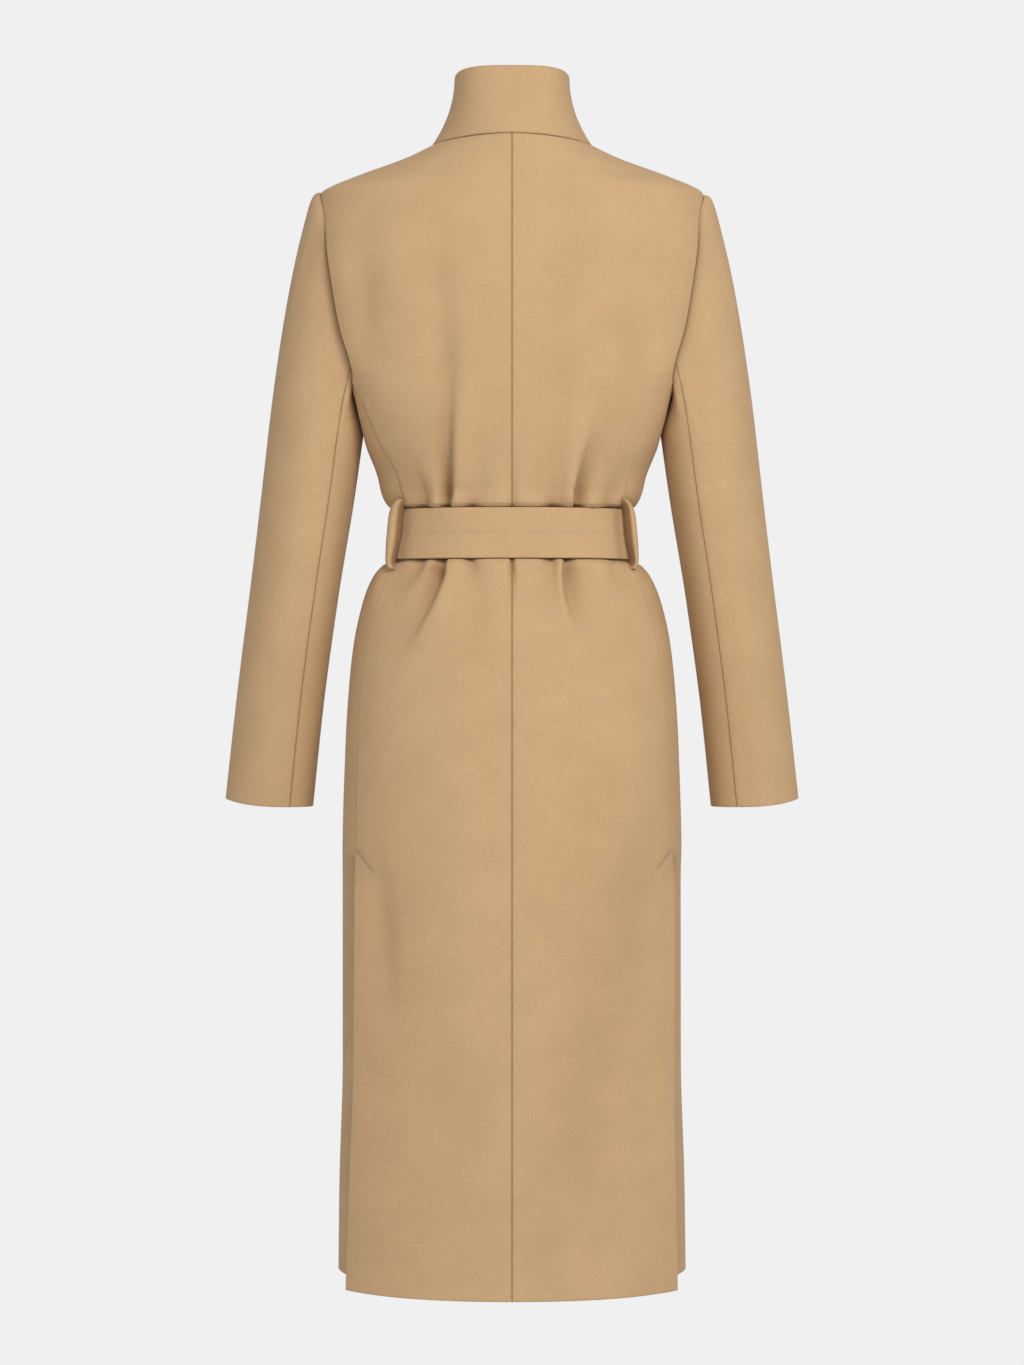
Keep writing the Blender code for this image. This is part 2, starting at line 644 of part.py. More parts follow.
def sleeve_walls(side, share, down):
    """Outer and inner points of a sleeve panel."""
    outer = sleeve_cloth(side, share, down)
    across = sleeve_cloth(side, share + SHARE_STEP, down) - sleeve_cloth(side, share - SHARE_STEP, down)
    below = np.clip(down + DOWN_STEP, 0, 2)
    above = np.clip(down - DOWN_STEP, 0, 2)
    along = sleeve_cloth(side, share, below) - sleeve_cloth(side, share, above)
    normal = SIDES[side] * unit(np.cross(along, across))
    return outer, outer - normal * CLOTH_WALL


def collar_cloth(angle, height):
    """Outer surface of the collar, height 0 at the neck seam and 1 at the top edge."""
    seam = body_form(angle, np.zeros_like(angle))
    depths = (COLLAR_TOP_BACK_DEPTH, COLLAR_TOP_FRONT_DEPTH)
    x, y = oval(angle, COLLAR_TOP_HALF_WIDTH, *depths, COLLAR_SQUARENESS)
    front = np.maximum(-np.cos(angle), 0.0) ** NECK_DROP_POWER
    top_z = COLLAR_TOP_BACK - COLLAR_SIDE_DROP * np.sin(angle) ** COLLAR_SIDE_DROP_POWER
    top_z = top_z + (COLLAR_TOP_FRONT - COLLAR_TOP_BACK) * front
    top = np.stack([x, y, top_z], axis=-1)
    low = (np.maximum(1 - height, 0) ** COLLAR_FLARE_POWER)[..., None]
    plan = top * (1 - low) + seam * low
    z = seam[..., 2] + SEAM_GAP + (top[..., 2] - seam[..., 2]) * height
    return np.concatenate([plan[..., :2], z[..., None]], axis=-1)


def collar_walls(angle, height):
    """Outer and inner points of the collar, its left end tucked under the right one."""
    across = collar_cloth(angle + ANGLE_STEP, height) - collar_cloth(angle - ANGLE_STEP, height)
    up = collar_cloth(angle, height + ANGLE_STEP) - collar_cloth(angle, height - ANGLE_STEP)
    normal = unit(np.cross(up, across))
    step = (COLLAR_WALL + LAYER_GAP) * wrap_step(angle, np.zeros_like(angle))
    outer = collar_cloth(angle, height) - normal * step[..., None]
    return outer, outer - normal * COLLAR_WALL


def make_panel(name, surface, angle, level):
    """One panel as a bodice and a skirt, parted at the waist line under the belt."""
    waist = int(np.argmin(np.abs(level[:, 0] - WAIST_LINE)))
    parts = {"bodice_": (slice(0, waist + 1), -1, 1), "skirt_": (slice(waist, None), 0, -1)}
    for part, (rows, row_at_waist, way) in parts.items():
        part_level = level[rows].copy()
        part_level[row_at_waist] += way * SEAM_GAP / 2
        wall_object(part + name, *walls(surface, angle[rows], part_level))


def make_panels():
    for side in SIDES:
        make_panel("back_" + side, body_cloth, *back_grid(side))
        make_panel("front_" + side, front_cloth(side), *front_grid(side))


def sleeve_grid(side, first, last, down):
    """Armhole places of a sleeve panel's columns in each row, set in half a seam gap at its two seams."""
    once = np.concatenate([back_shares()[:-1], 1 + front_shares()[:-1]])
    round_hole = np.concatenate([once - 2, once])
    inside = round_hole[(round_hole > first + SHARE_STEP) & (round_hole < last - SHARE_STEP)]
    share = np.tile(np.concatenate([[first], inside, [last]]), (len(down), 1))
    for column, way in ((0, 1), (-1, -1)):
        seam = share[:, column]
        span = sleeve_cloth(side, seam + SHARE_STEP, down) - sleeve_cloth(side, seam - SHARE_STEP, down)
        speed = np.linalg.norm(span, axis=-1) / (2 * SHARE_STEP)
        share[:, column] = seam + way * SEAM_GAP / 2 / speed
    return share, np.repeat(down[:, None], share.shape[1], 1)


def make_sleeves():
    front_seam = 1 + front_shares()[SLEEVE_FRONT_SEAM_STEP]
    down = np.concatenate([np.linspace(0, 1, SLEEVE_CAP_ROWS), np.linspace(1, 2, SLEEVE_ARM_ROWS)[1:]])
    for side, step in SLEEVE_BACK_SEAM_STEPS.items():
        back_seam = back_shares()[step]
        spans = {"upper": (front_seam - 2, back_seam), "under": (back_seam, front_seam)}
        for half, (first, last) in spans.items():
            wall_object(f"sleeve_{half}_{side}", *sleeve_walls(side, *sleeve_grid(side, first, last, down)))


def make_collar():
    left = front_grid("left")[0][0]
    right = front_grid("right")[0][0]
    back = back_grid("left")[0][0]
    angle = np.concatenate([right[::-1], -back[::-1][1:-1], back[:-1], left])
    height = np.linspace(0, 1, COLLAR_ROWS)
    angle, height = np.meshgrid(angle, height)
    wall_object("collar", *collar_walls(angle, height))


def make_belt():
    angle = np.linspace(-math.pi, math.pi, BELT_COLUMNS, endpoint=False)
    level = np.linspace(BELT_TOP, BELT_BOTTOM, BELT_ROWS)
    angle, level = np.meshgrid(angle, level)
    out = outward(body_form, angle, level)
    inner = body_form(angle, level) + out * BELT_CLEAR
    wall_object("belt", inner + out * BELT_WALL, inner, closed=True)


def make_loops():
    rise = np.linspace(0, 1, LOOP_ROWS)[:, None]
    ends = np.array([BELT_TOP + LOOP_OVERHANG, BELT_BOTTOM - LOOP_OVERHANG])
    near_end = np.clip(np.minimum(rise, 1 - rise) / LOOP_ARCH, 0.0, 1.0)
    arch = np.sqrt(1 - (1 - near_end) ** 2)
    twist = LOOP_TWIST * arch
    stand = SEAM_GAP + LOOP_CLEAR + LOOP_STAND * arch
    width = smooth(rise, LOOP["rise"], LOOP["width"])
    back = smooth(rise, LOOP["rise"], LOOP["back"])
    across_share = np.linspace(-1, 1, LOOP_COLUMNS)
    place = (width / 2 * across_share)[..., None]
    round_off = (LOOP_ROUND * arch * across_share ** 2)[..., None]
    for side, sign in SIDES.items():
        angle = np.full(2, sign * LOOP_ANGLE)
        sewn = body_cloth(angle, ends)
        facing = unit(outward(body_form, angle, ends) * (1.0, 1.0, 0.0))
        facing = unit(facing[0] + (facing[1] - facing[0]) * rise)
        forward = sign * np.cross(facing, (0.0, 0.0, 1.0))
        across = np.cos(twist) * forward + np.sin(twist) * facing
        out = (np.cos(twist) * facing - np.sin(twist) * forward)[:, None, :]
        middle = sewn[0] + (sewn[1] - sewn[0]) * rise + facing * stand - forward * back
        inner = middle[:, None, :] + across[:, None, :] * place - out * round_off
        wall_object("belt_loop_" + side, inner + out * LOOP_WALL, inner)


def make_knot():
    front = body_form(math.pi, WAIST_LINE)
    centre = front + np.array([0.0, -(BELT_CLEAR + BELT_WALL + LAYER_GAP + KNOT_DEPTH / 2), 0.0])
    points = []
    for r in range(KNOT_ROWS):
        tilt = math.pi * (r + 0.5) / KNOT_ROWS
        height = math.cos(tilt)
        swell = math.sin(tilt) ** KNOT_END_POWER * (1 - KNOT_WAIST * (1 - height ** 2))
        for c in range(KNOT_COLUMNS):
            turn = 2 * math.pi * c / KNOT_COLUMNS
            wide = math.copysign(abs(math.cos(turn)) ** KNOT_SIDE_POWER, math.cos(turn))
            deep = math.copysign(abs(math.sin(turn)) ** KNOT_FACE_POWER, math.sin(turn))
            offset = np.array([KNOT_WIDTH * swell * wide, KNOT_DEPTH * swell * deep, KNOT_HEIGHT * height])
            points.append(centre + offset / 2)
    last_row = (KNOT_ROWS - 1) * KNOT_COLUMNS
    faces = [tuple(range(KNOT_COLUMNS)), tuple(range(last_row, last_row + KNOT_COLUMNS))[::-1]]
    for r in range(KNOT_ROWS - 1):
        for c in range(KNOT_COLUMNS):
            a = r * KNOT_COLUMNS + c
            b = r * KNOT_COLUMNS + (c + 1) % KNOT_COLUMNS
            faces.append((b, a, a + KNOT_COLUMNS, b + KNOT_COLUMNS))
    make_object("belt_knot", points, faces)


def make_tails():
    top = WAIST_LINE - KNOT_HEIGHT / 2 - SEAM_GAP
    for side, sign in SIDES.items():
        share = np.linspace(0, 1, TAIL_ROWS)
        level = top - TAIL_LENGTHS[side] * share
        open_out = ramp(top - level, 0.0, TAIL_OPENING)
        width = TAIL_NECK_WIDTH + (TAIL_WIDTH - TAIL_NECK_WIDTH) * open_out
        spread = ramp(share, 0.0, TAIL_SPREAD_SHARE)
        offset = TAIL_NECK_OFFSET + (TAIL_END_OFFSET - TAIL_NECK_OFFSET) * spread
        offset = offset + TAIL_OPENING_OFFSET * open_out
        across = np.linspace(-0.5, 0.5, TAIL_COLUMNS)
        place = sign * offset[:, None] + width[:, None] * across
        levels = np.repeat(level[:, None], TAIL_COLUMNS, 1)
        angle = math.pi - place / smooth(levels, RING["level"], RING["front_depth"])
        out = unit(outward(body_form, angle, levels) * (1.0, 1.0, 0.0))
        lift = TAIL_CLEAR + TAIL_NECK_LIFT * (1 - open_out)
        inner = body_form(angle, levels) + out * lift[:, None, None]
        wall_object("belt_tail_" + side, inner + out * BELT_WALL, inner)


def main():
    for item in list(bpy.data.objects):
        bpy.data.objects.remove(item, do_unlink=True)
    make_panels()
    make_sleeves()
    make_collar()
    make_belt()
    make_loops()
    make_knot()
    make_tails()


main()
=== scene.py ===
import math

import bpy
import numpy as np
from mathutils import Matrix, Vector


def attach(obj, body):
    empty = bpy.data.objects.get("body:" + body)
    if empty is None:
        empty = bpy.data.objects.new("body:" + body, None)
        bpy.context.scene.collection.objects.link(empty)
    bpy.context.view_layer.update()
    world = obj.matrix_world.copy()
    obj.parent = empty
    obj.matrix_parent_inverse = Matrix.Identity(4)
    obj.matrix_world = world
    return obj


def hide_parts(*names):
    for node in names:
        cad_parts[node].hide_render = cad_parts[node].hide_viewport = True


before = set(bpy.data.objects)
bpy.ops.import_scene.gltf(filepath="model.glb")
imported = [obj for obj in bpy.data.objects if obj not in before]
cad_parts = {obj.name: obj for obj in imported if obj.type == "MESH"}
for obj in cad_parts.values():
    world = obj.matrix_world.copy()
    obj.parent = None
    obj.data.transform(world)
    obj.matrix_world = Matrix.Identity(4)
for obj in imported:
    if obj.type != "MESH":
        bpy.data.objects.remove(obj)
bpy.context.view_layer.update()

# The coat in metres, +Z up: the wearer faces -Y and the wearer's left is +X. An angle round the body is
# measured from the centre back, positive towards the wearer's left, so the centre front is at 180 degrees.

# Cloth
CLOTH_WALL = 0.0025
COLLAR_WALL = 0.0045
BELT_WALL = 0.0045
SEAM_GAP = 0.00002
LAYER_GAP = 0.0018

# Lengths, as levels below the neck
SHOULDER_TIP = -0.0485
SIDE_SEAM_TOP = -0.2484
BELT_TOP = -0.3755
BELT_BOTTOM = -0.4275
WAIST_LINE = (BELT_TOP + BELT_BOTTOM) / 2
BLOUSE = 0.0140
HIP_LEVEL = -0.5600
VENT_TOP = -0.7230
FRONT_HEM = -1.1570
BACK_HEM = -1.1715
HEM_CORNER_RISE = 0.0025
CUFF = -0.6775

# Neck
NECK_BACK_RISE = 0.0035
NECK_FRONT_DROP = 0.0500
NECK_DROP_REACH = 0.1600
NECK_DROP_POWER = 1.4
COLLAR_TOP_BACK = 0.0735
COLLAR_TOP_FRONT = 0.0250
COLLAR_TOP_HALF_WIDTH = 0.0592
COLLAR_TOP_BACK_DEPTH = 0.0690
COLLAR_TOP_FRONT_DEPTH = 0.0650
COLLAR_SIDE_DROP = 0.0045
COLLAR_FLARE_POWER = 2.0
COLLAR_SIDE_DROP_POWER = 4
COLLAR_SQUARENESS = 2.9
COLLAR_STEP_RISE = 0.40

# Front wrap, right over left: the right edge lies past the centre front by the overlap
WRAP_COLUMNS = ("level", "overlap")
WRAP = (
    (-0.2000, 0.0680),
    (-0.1000, 0.0560),
    (0.0000, 0.0340),
)
WRAP_STEP_START = math.radians(32)
WRAP_STEP_END = math.radians(9)

# Vents at the side seams
VENT_UNDERLAP = 0.0200
VENT_SLOPE = 0.0250
VENT_STEP_WIDTH = 0.0450
VENT_STEP_FLAT = 0.25

# Hollow under each arm, where arm and body press the cloth in
UNDERARM_DEPTH = 0.0300
UNDERARM_ANGLE = math.radians(97)
UNDERARM_SPREAD = math.radians(24)
UNDERARM_LEVEL = -0.2560
UNDERARM_HEIGHT = 0.0420

# Body sections: squareness 2 is an ellipse, more is boxier
RING_COLUMNS = ("level", "half_width", "back_depth", "front_depth", "squareness")
RINGS = (
    (-1.1800, 0.1796, 0.1250, 0.1250, 2.40),
    (-1.0660, 0.1780, 0.1255, 0.1255, 2.40),
    (-0.9400, 0.1745, 0.1260, 0.1255, 2.40),
    (-0.7300, 0.1745, 0.1265, 0.1240, 2.40),
    (-0.6120, 0.1712, 0.1265, 0.1220, 2.40),
    (-0.5500, 0.1672, 0.1240, 0.1190, 2.35),
    (-0.5090, 0.1624, 0.1190, 0.1150, 2.30),
    (-0.4680, 0.1530, 0.1085, 0.1075, 2.25),
    (-0.4470, 0.1445, 0.1010, 0.1010, 2.20),
    (-0.4325, 0.1335, 0.0935, 0.0938, 2.20),
    (-0.4275, 0.1240, 0.0890, 0.0920, 2.20),
    (-0.3755, 0.1195, 0.0860, 0.0900, 2.20),
    (-0.3710, 0.1275, 0.0905, 0.0925, 2.20),
    (-0.3600, 0.1335, 0.0945, 0.0990, 2.25),
    (-0.3400, 0.1390, 0.0985, 0.1080, 2.30),
    (-0.3030, 0.1590, 0.1040, 0.1170, 2.45),
    (-0.2700, 0.1790, 0.1060, 0.1210, 2.55),
    (-0.2484, 0.1870, 0.1065, 0.1220, 2.60),
    (-0.2270, 0.1900, 0.1065, 0.1215, 2.60),
    (-0.1950, 0.1920, 0.1060, 0.1180, 2.60),
    (-0.1480, 0.1965, 0.1040, 0.1130, 2.55),
    (-0.1100, 0.1995, 0.1010, 0.1060, 2.50),
    (-0.0750, 0.1995, 0.0970, 0.0980, 2.20),
    (-0.0485, 0.1965, 0.0930, 0.0910, 1.85),
    (-0.0420, 0.1865, 0.0912, 0.0894, 1.78),
    (-0.0300, 0.1570, 0.0870, 0.0860, 1.65),
    (-0.0120, 0.1078, 0.0830, 0.0800, 1.68),
    (0.0000, 0.0828, 0.0785, 0.0740, 1.75),
    (0.0050, 0.0724, 0.0768, 0.0718, 1.78),
)

# Side seam, in degrees from the centre back on each side
SIDE_SEAM_COLUMNS = ("level", "left", "right")
SIDE_SEAM = (
    (-1.1715, 72.6, 72.0),
    (-1.0500, 70.5, 71.5),
    (-0.9000, 69.3, 73.0),
    (-0.7600, 68.6, 73.6),
    (-0.7200, 68.3, 71.0),
    (-0.5500, 68.8, 69.0),
    (-0.4700, 68.2, 68.0),
    (-0.4275, 69.5, 69.0),
    (-0.3755, 64.0, 66.0),
    (-0.3450, 64.0, 65.5),
    (-0.3030, 66.2, 67.0),
    (-0.2700, 68.5, 68.8),
    (-0.2484, 72.5, 72.5),
)

# Armhole edge of the back panel, and of the front panel from the side seam up to the shoulder tip
ARMHOLE_BACK_COLUMNS = ("level", "angle")
ARMHOLE_BACK = (
    (-0.2484, 72.5),
    (-0.2400, 70.4),
    (-0.2267, 70.2),
    (-0.1948, 72.0),
    (-0.1484, 74.5),
    (-0.1092, 77.0),
    (-0.0700, 82.0),
    (-0.0485, 90.0),
)
ARMHOLE_FRONT_COLUMNS = ("share", "angle", "level")
ARMHOLE_FRONT = (
    (0.00, 72.5, -0.2484),
    (0.08, 78.0, -0.2510),
    (0.18, 87.0, -0.2505),
    (0.30, 97.0, -0.2400),
    (0.45, 106.5, -0.2080),
    (0.60, 109.0, -0.1640),
    (0.75, 106.5, -0.1150),
    (0.88, 99.5, -0.0750),
    (1.00, 90.0, -0.0485),
)
CENTRE_FRONT_ARMHOLE_END = -0.2950

# Sleeve sections below the cap
SLEEVE_COLUMNS = ("level", "centre_x", "centre_y", "half_width", "half_depth")
SLEEVE_RINGS = (
    (-0.6775, 0.2530, -0.0440, 0.0456, 0.0435),
    (-0.5710, 0.2405, -0.0260, 0.0452, 0.0490),
    (-0.4675, 0.2262, -0.0120, 0.0458, 0.0550),
    (-0.3640, 0.2112, -0.0060, 0.0481, 0.0600),
    (-0.3000, 0.2029, -0.0040, 0.0491, 0.0620),
)
SLEEVE_CAP_END = -0.3000

# Where a place on the armhole comes to lie round the sleeve: share 0 at the shoulder tip, 1 at the side
# seam, 2 at the tip again; angle 0 outside, 90 back, 180 inside, 270 front; aside and fall say how much
# the cloth leaves the armhole sideways and downwards, reach and draw how firmly it keeps its way at the
# armhole and at the end of the cap
SLEEVE_TURN_COLUMNS = ("share", "angle", "aside", "fall", "reach", "draw")
SLEEVE_TURN = (
    (0.00, 0.0, 2.40, 0.00, 0.074, 0.25),
    (0.30, 50.0, 0.90, 0.05, 0.062, 0.15),
    (0.64, 92.0, 0.90, 0.25, 0.050, 0.10),
    (0.88, 118.0, 0.40, 0.70, 0.040, 0.07),
    (1.00, 134.0, 0.90, 0.75, 0.035, 0.05),
    (1.10, 156.0, 0.70, 1.00, 0.040, 0.05),
    (1.20, 178.0, 0.50, 1.00, 0.040, 0.05),
    (1.30, 200.0, 0.50, 1.00, 0.040, 0.05),
    (1.45, 232.0, 0.80, 0.50, 0.040, 0.08),
    (1.60, 264.0, 0.80, 0.25, 0.050, 0.12),
    (1.80, 312.0, 0.90, 0.05, 0.070, 0.17),
    (2.00, 360.0, 2.40, 0.00, 0.074, 0.25),
)
ARMHOLE_ROUND = 2.0
SLEEVE_BACK_SEAMS = {"left": 0.9066, "right": 0.8766}
SLEEVE_FRONT_SEAM = 1.3976
SLEEVE_OUTER_SQUARENESS = 1.70
SLEEVE_INNER_SQUARENESS = 2.5
SLEEVE_CUFF_TILT = 0.0040
SLEEVE_CUFF_CURVE = 3.6
SLEEVE_HEAD_SWELL = 0.0022
SLEEVE_HEAD_LIFT = 0.0034
SLEEVE_HEAD_SHARE = 0.35
SLEEVE_HEAD_PLACE = 0.08
SLEEVE_HEAD_LENGTH = 0.14
SLEEVE_WAY_LENGTH = 0.0200
ARMHOLE_CENTRE = (0.1900, 0.0, -0.1500)
ARMHOLE_TIP_SHARE = 0.25
SLEEVE_TUCK = 0.0030

# Creases of the body as seen from behind or in front: a trough whose middle line goes through three
# places from the belt outwards, deepest at its start, with a flank towards each side and a ridge beside it;
# a negative depth is a ridge
CREASE_COLUMNS = (
    "face", "start_x", "start_z", "middle_x", "middle_z", "end_x", "end_z",
    "depth", "left_flank", "right_flank", "ridge", "ridge_x",
)
CREASES = (
    (1, 0.0645, -0.376, 0.0655, -0.329, 0.0620, -0.240, 0.0125, 0.0078, 0.0034, 0.0026, -0.0070),
    (1, 0.0650, -0.361, 0.0655, -0.329, 0.0594, -0.170, 0.0052, 0.0220, 0.0050, 0.0018, -0.0120),
    (1, 0.0735, -0.376, 0.0775, -0.343, 0.0840, -0.296, -0.0036, 0.0045, 0.0045, 0.0000, 0.0),
    (1, 0.0870, -0.376, 0.0970, -0.347, 0.1120, -0.305, 0.0085, 0.0130, 0.0060, 0.0000, 0.0),
    (1, 0.0405, -0.376, 0.0400, -0.369, 0.0395, -0.350, 0.0065, 0.0065, 0.0065, 0.0000, 0.0),
    (1, 0.0310, -0.376, 0.0310, -0.345, 0.0310, -0.290, 0.0018, 0.0090, 0.0060, 0.0000, 0.0),
    (1, -0.0640, -0.376, -0.0712, -0.347, -0.0890, -0.285, 0.0130, 0.0034, 0.0085, 0.0026, 0.0070),
    (1, -0.0675, -0.361, -0.0715, -0.347, -0.0980, -0.240, 0.0052, 0.0050, 0.0200, 0.0018, 0.0120),
    (1, -0.0760, -0.376, -0.0812, -0.347, -0.0925, -0.303, -0.0036, 0.0045, 0.0060, 0.0000, 0.0),
    (1, -0.0475, -0.376, -0.0480, -0.345, -0.0495, -0.262, 0.0050, 0.0100, 0.0060, 0.0012, -0.0085),
    (1, -0.0390, -0.376, -0.0390, -0.369, -0.0390, -0.352, 0.0060, 0.0080, 0.0070, 0.0000, 0.0),
    (1, -0.0957, -0.376, -0.1010, -0.358, -0.1120, -0.315, 0.0060, 0.0070, 0.0080, 0.0010, 0.0110),
    (1, 0.0000, -0.376, 0.0000, -0.350, 0.0000, -0.290, 0.0040, 0.0045, 0.0045, 0.0000, 0.0),
    (1, 0.0680, -0.426, 0.0912, -0.484, 0.1235, -0.532, 0.0125, 0.0090, 0.0036, 0.0024, -0.0065),
    (1, 0.0735, -0.442, 0.0915, -0.484, 0.1330, -0.560, 0.0065, 0.0240, 0.0050, 0.0014, -0.0120),
    (1, 0.0880, -0.426, 0.1040, -0.447, 0.1290, -0.482, 0.0080, 0.0090, 0.0055, 0.0012, -0.0100),
    (1, 0.1275, -0.428, 0.1400, -0.462, 0.1490, -0.505, -0.0034, 0.0060, 0.0050, 0.0000, 0.0),
    (1, 0.0415, -0.426, 0.0412, -0.436, 0.0405, -0.462, 0.0062, 0.0060, 0.0042, 0.0000, 0.0),
    (1, 0.0370, -0.426, 0.0353, -0.465, 0.0330, -0.560, 0.0036, 0.0110, 0.0090, 0.0000, 0.0),
    (1, -0.0545, -0.426, -0.0577, -0.466, -0.0835, -0.525, 0.0105, 0.0034, 0.0080, 0.0042, 0.0066),
    (1, -0.0570, -0.442, -0.0600, -0.470, -0.0860, -0.540, 0.0050, 0.0050, 0.0200, 0.0020, 0.0100),
    (1, -0.0398, -0.426, -0.0413, -0.450, -0.0455, -0.512, 0.0082, 0.0100, 0.0042, 0.0000, 0.0),
    (1, -0.0987, -0.426, -0.1030, -0.440, -0.1120, -0.470, 0.0040, 0.0050, 0.0060, 0.0008, 0.0090),
    (1, 0.0000, -0.426, 0.0000, -0.440, 0.0000, -0.480, 0.0080, 0.0024, 0.0024, 0.0000, 0.0),
    (-1, 0.0700, -0.376, 0.0780, -0.330, 0.0900, -0.250, 0.0100, 0.0040, 0.0120, 0.0025, 0.0080),
    (-1, 0.0420, -0.376, 0.0400, -0.345, 0.0380, -0.290, 0.0040, 0.0090, 0.0060, 0.0010, -0.0120),
    (-1, -0.0600, -0.376, -0.0680, -0.325, -0.0720, -0.235, 0.0105, 0.0120, 0.0040, 0.0028, -0.0080),
    (-1, -0.0900, -0.376, -0.0980, -0.350, -0.1060, -0.310, 0.0052, 0.0080, 0.0100, 0.0015, 0.0130),
    (-1, -0.0260, -0.376, -0.0240, -0.350, -0.0200, -0.300, 0.0030, 0.0070, 0.0080, 0.0008, 0.0120),
    (-1, 0.0760, -0.426, 0.0880, -0.465, 0.1080, -0.530, 0.0095, 0.0040, 0.0120, 0.0025, 0.0080),
    (-1, 0.0500, -0.426, 0.0540, -0.455, 0.0600, -0.510, 0.0045, 0.0080, 0.0070, 0.0010, 0.0120),
    (-1, -0.0680, -0.426, -0.0790, -0.470, -0.0980, -0.540, 0.0100, 0.0120, 0.0040, 0.0026, -0.0080),
    (-1, -0.0420, -0.426, -0.0440, -0.450, -0.0480, -0.500, 0.0040, 0.0080, 0.0070, 0.0010, -0.0110),
)
CREASE_START_FADE = 0.0140
CREASE_FADE_POWER = 1.5
CREASE_SPREAD = 0.9
CREASE_RIDGE_WIDTH = 0.0070
CREASE_FACE_START = 0.010
CREASE_FACE_END = 0.035

# Soft drape of the body as seen from behind or in front: wide shallow troughs along a straight line
DRAPE_COLUMNS = ("face", "top_x", "top_z", "bottom_x", "bottom_z", "depth", "half_width")
DRAPES = (
    (1, 0.1470, -0.110, 0.1500, -0.240, 0.0036, 0.018),
    (1, 0.0720, -0.140, 0.0640, -0.280, 0.0040, 0.013),
    (1, -0.1200, -0.150, -0.1180, -0.260, 0.0024, 0.018),
    (1, -0.0520, -0.180, -0.0520, -0.300, 0.0018, 0.014),
    (1, -0.1250, -0.700, -0.0480, -1.090, 0.0036, 0.040),
    (1, 0.1120, -0.760, 0.0700, -1.000, 0.0020, 0.034),
    (1, 0.0500, -0.980, 0.0900, -1.160, 0.0014, 0.036),
    (1, 0.1330, -0.760, 0.1240, -0.860, 0.0034, 0.012),
    (1, -0.1300, -0.740, -0.1220, -0.860, 0.0020, 0.014),
    (-1, 0.0900, -0.640, 0.0600, -1.140, 0.0026, 0.040),
    (-1, -0.0900, -0.600, -0.1200, -1.120, 0.0024, 0.040),
    (-1, -0.0900, -0.100, -0.1000, -0.260, 0.0016, 0.026),
    (-1, 0.0900, -0.110, 0.0850, -0.270, 0.0016, 0.026),
)
DRAPE_END_FADE = 0.0900

# Cloth swelling out over the belt's two edges at the back and the front, clear of the loops
BELT_FILL = 0.0056
BELT_FILL_RISE = 0.0007
BELT_FILL_REACH = 0.0200
BELT_FILL_START = 0.36
BELT_FILL_FULL = 0.54

# Small gathers all round the belt
GATHER_COLUMNS = ("waves", "phase", "height")
GATHERS = (
    (9, 0.4, 0.0006),
    (14, 1.9, 0.0006),
    (23, 4.1, 0.0004),
)
GATHER_REACH = 0.0550

# Pressed lines at the vent tops, as seen from behind: middle, half length and lean from level
VENT_LINE_COLUMNS = ("middle_x", "middle_z", "half_length", "lean")
VENT_LINES = (
    (0.1490, -0.7330, 0.0165, math.radians(51)),
    (-0.1540, -0.7320, 0.0145, math.radians(-50)),
)
# Painted shade along each pressed line, with a soft painted shadow above it
VENT_LINE_SIZES = {"width": 0.0013, "end": 0.0035, "soft_width": 0.0090, "soft_shade": 0.30}
VENT_LINE_SHADE = 0.50

# Back panel's edge standing off at the vents
VENT_LIFT = 0.0100
VENT_LIFT_WIDTH = 0.0550
VENT_LIFT_FADE = 0.0500

# Soft roll of the back panel's cloth beside the armhole
ROLL_HEIGHT = 0.0060
ROLL_EDGE = 0.0012
ROLL_WIDTH = 0.0500
ROLL_TOP = -0.0750
ROLL_TOP_FADE = 0.0700
ROLL_BOTTOM_FADE = 0.0140

# Seams, folded edges, and painted shade and shadow in folds, beside the vents, at folded edges and the
# armhole
SEAM_DEPTH = 0.0008
SEAM_WIDTH = 0.0012
SEAM_PUFF = 0.0003
SEAM_PUFF_PLACE = 0.0055
SEAM_PUFF_WIDTH = 0.0030
SEAM_SHADE = 0.62
SEAM_SHADE_WIDTH = 0.0007
SIDE_LINES = {"left": 0.8, "right": 0.15}
SKIRT_SIDE_LINE = 0.15
# Painted shade in the folds, and painted shadow on the front panel beside each vent
FOLD_SHADE = 0.50
FOLD_DEPTH = 0.0160
VENT_SHADE = 0.48
VENT_SHADE_START = 0.0120
VENT_SHADE_WIDTH = 0.0120
# Painted shade along folded edges
RIM_SHADE = 0.30
RIM_SHADE_WIDTH = 0.0009
# Painted shadow on the sleeve beside the back panel's armhole edge: a dark line, then a softer shade
ARMHOLE_SHADOW_LINE = 0.80
ARMHOLE_SHADOW_LINE_WIDTH = 0.0017
ARMHOLE_SHADE = 0.20
ARMHOLE_SHADE_WIDTH = 0.0070
ARMHOLE_SHADE_FADE = 0.0200
FOLDED_EDGE_SHARE = 0.46
BELT_EDGE_SHARE = 0.20
EDGE_MARKS = (0.0, 0.0002, 0.0005, 0.0009, 0.0013, 0.0018, 0.0025, 0.0036, 0.0052, 0.0075)
NARROW_PIECE = 0.0200

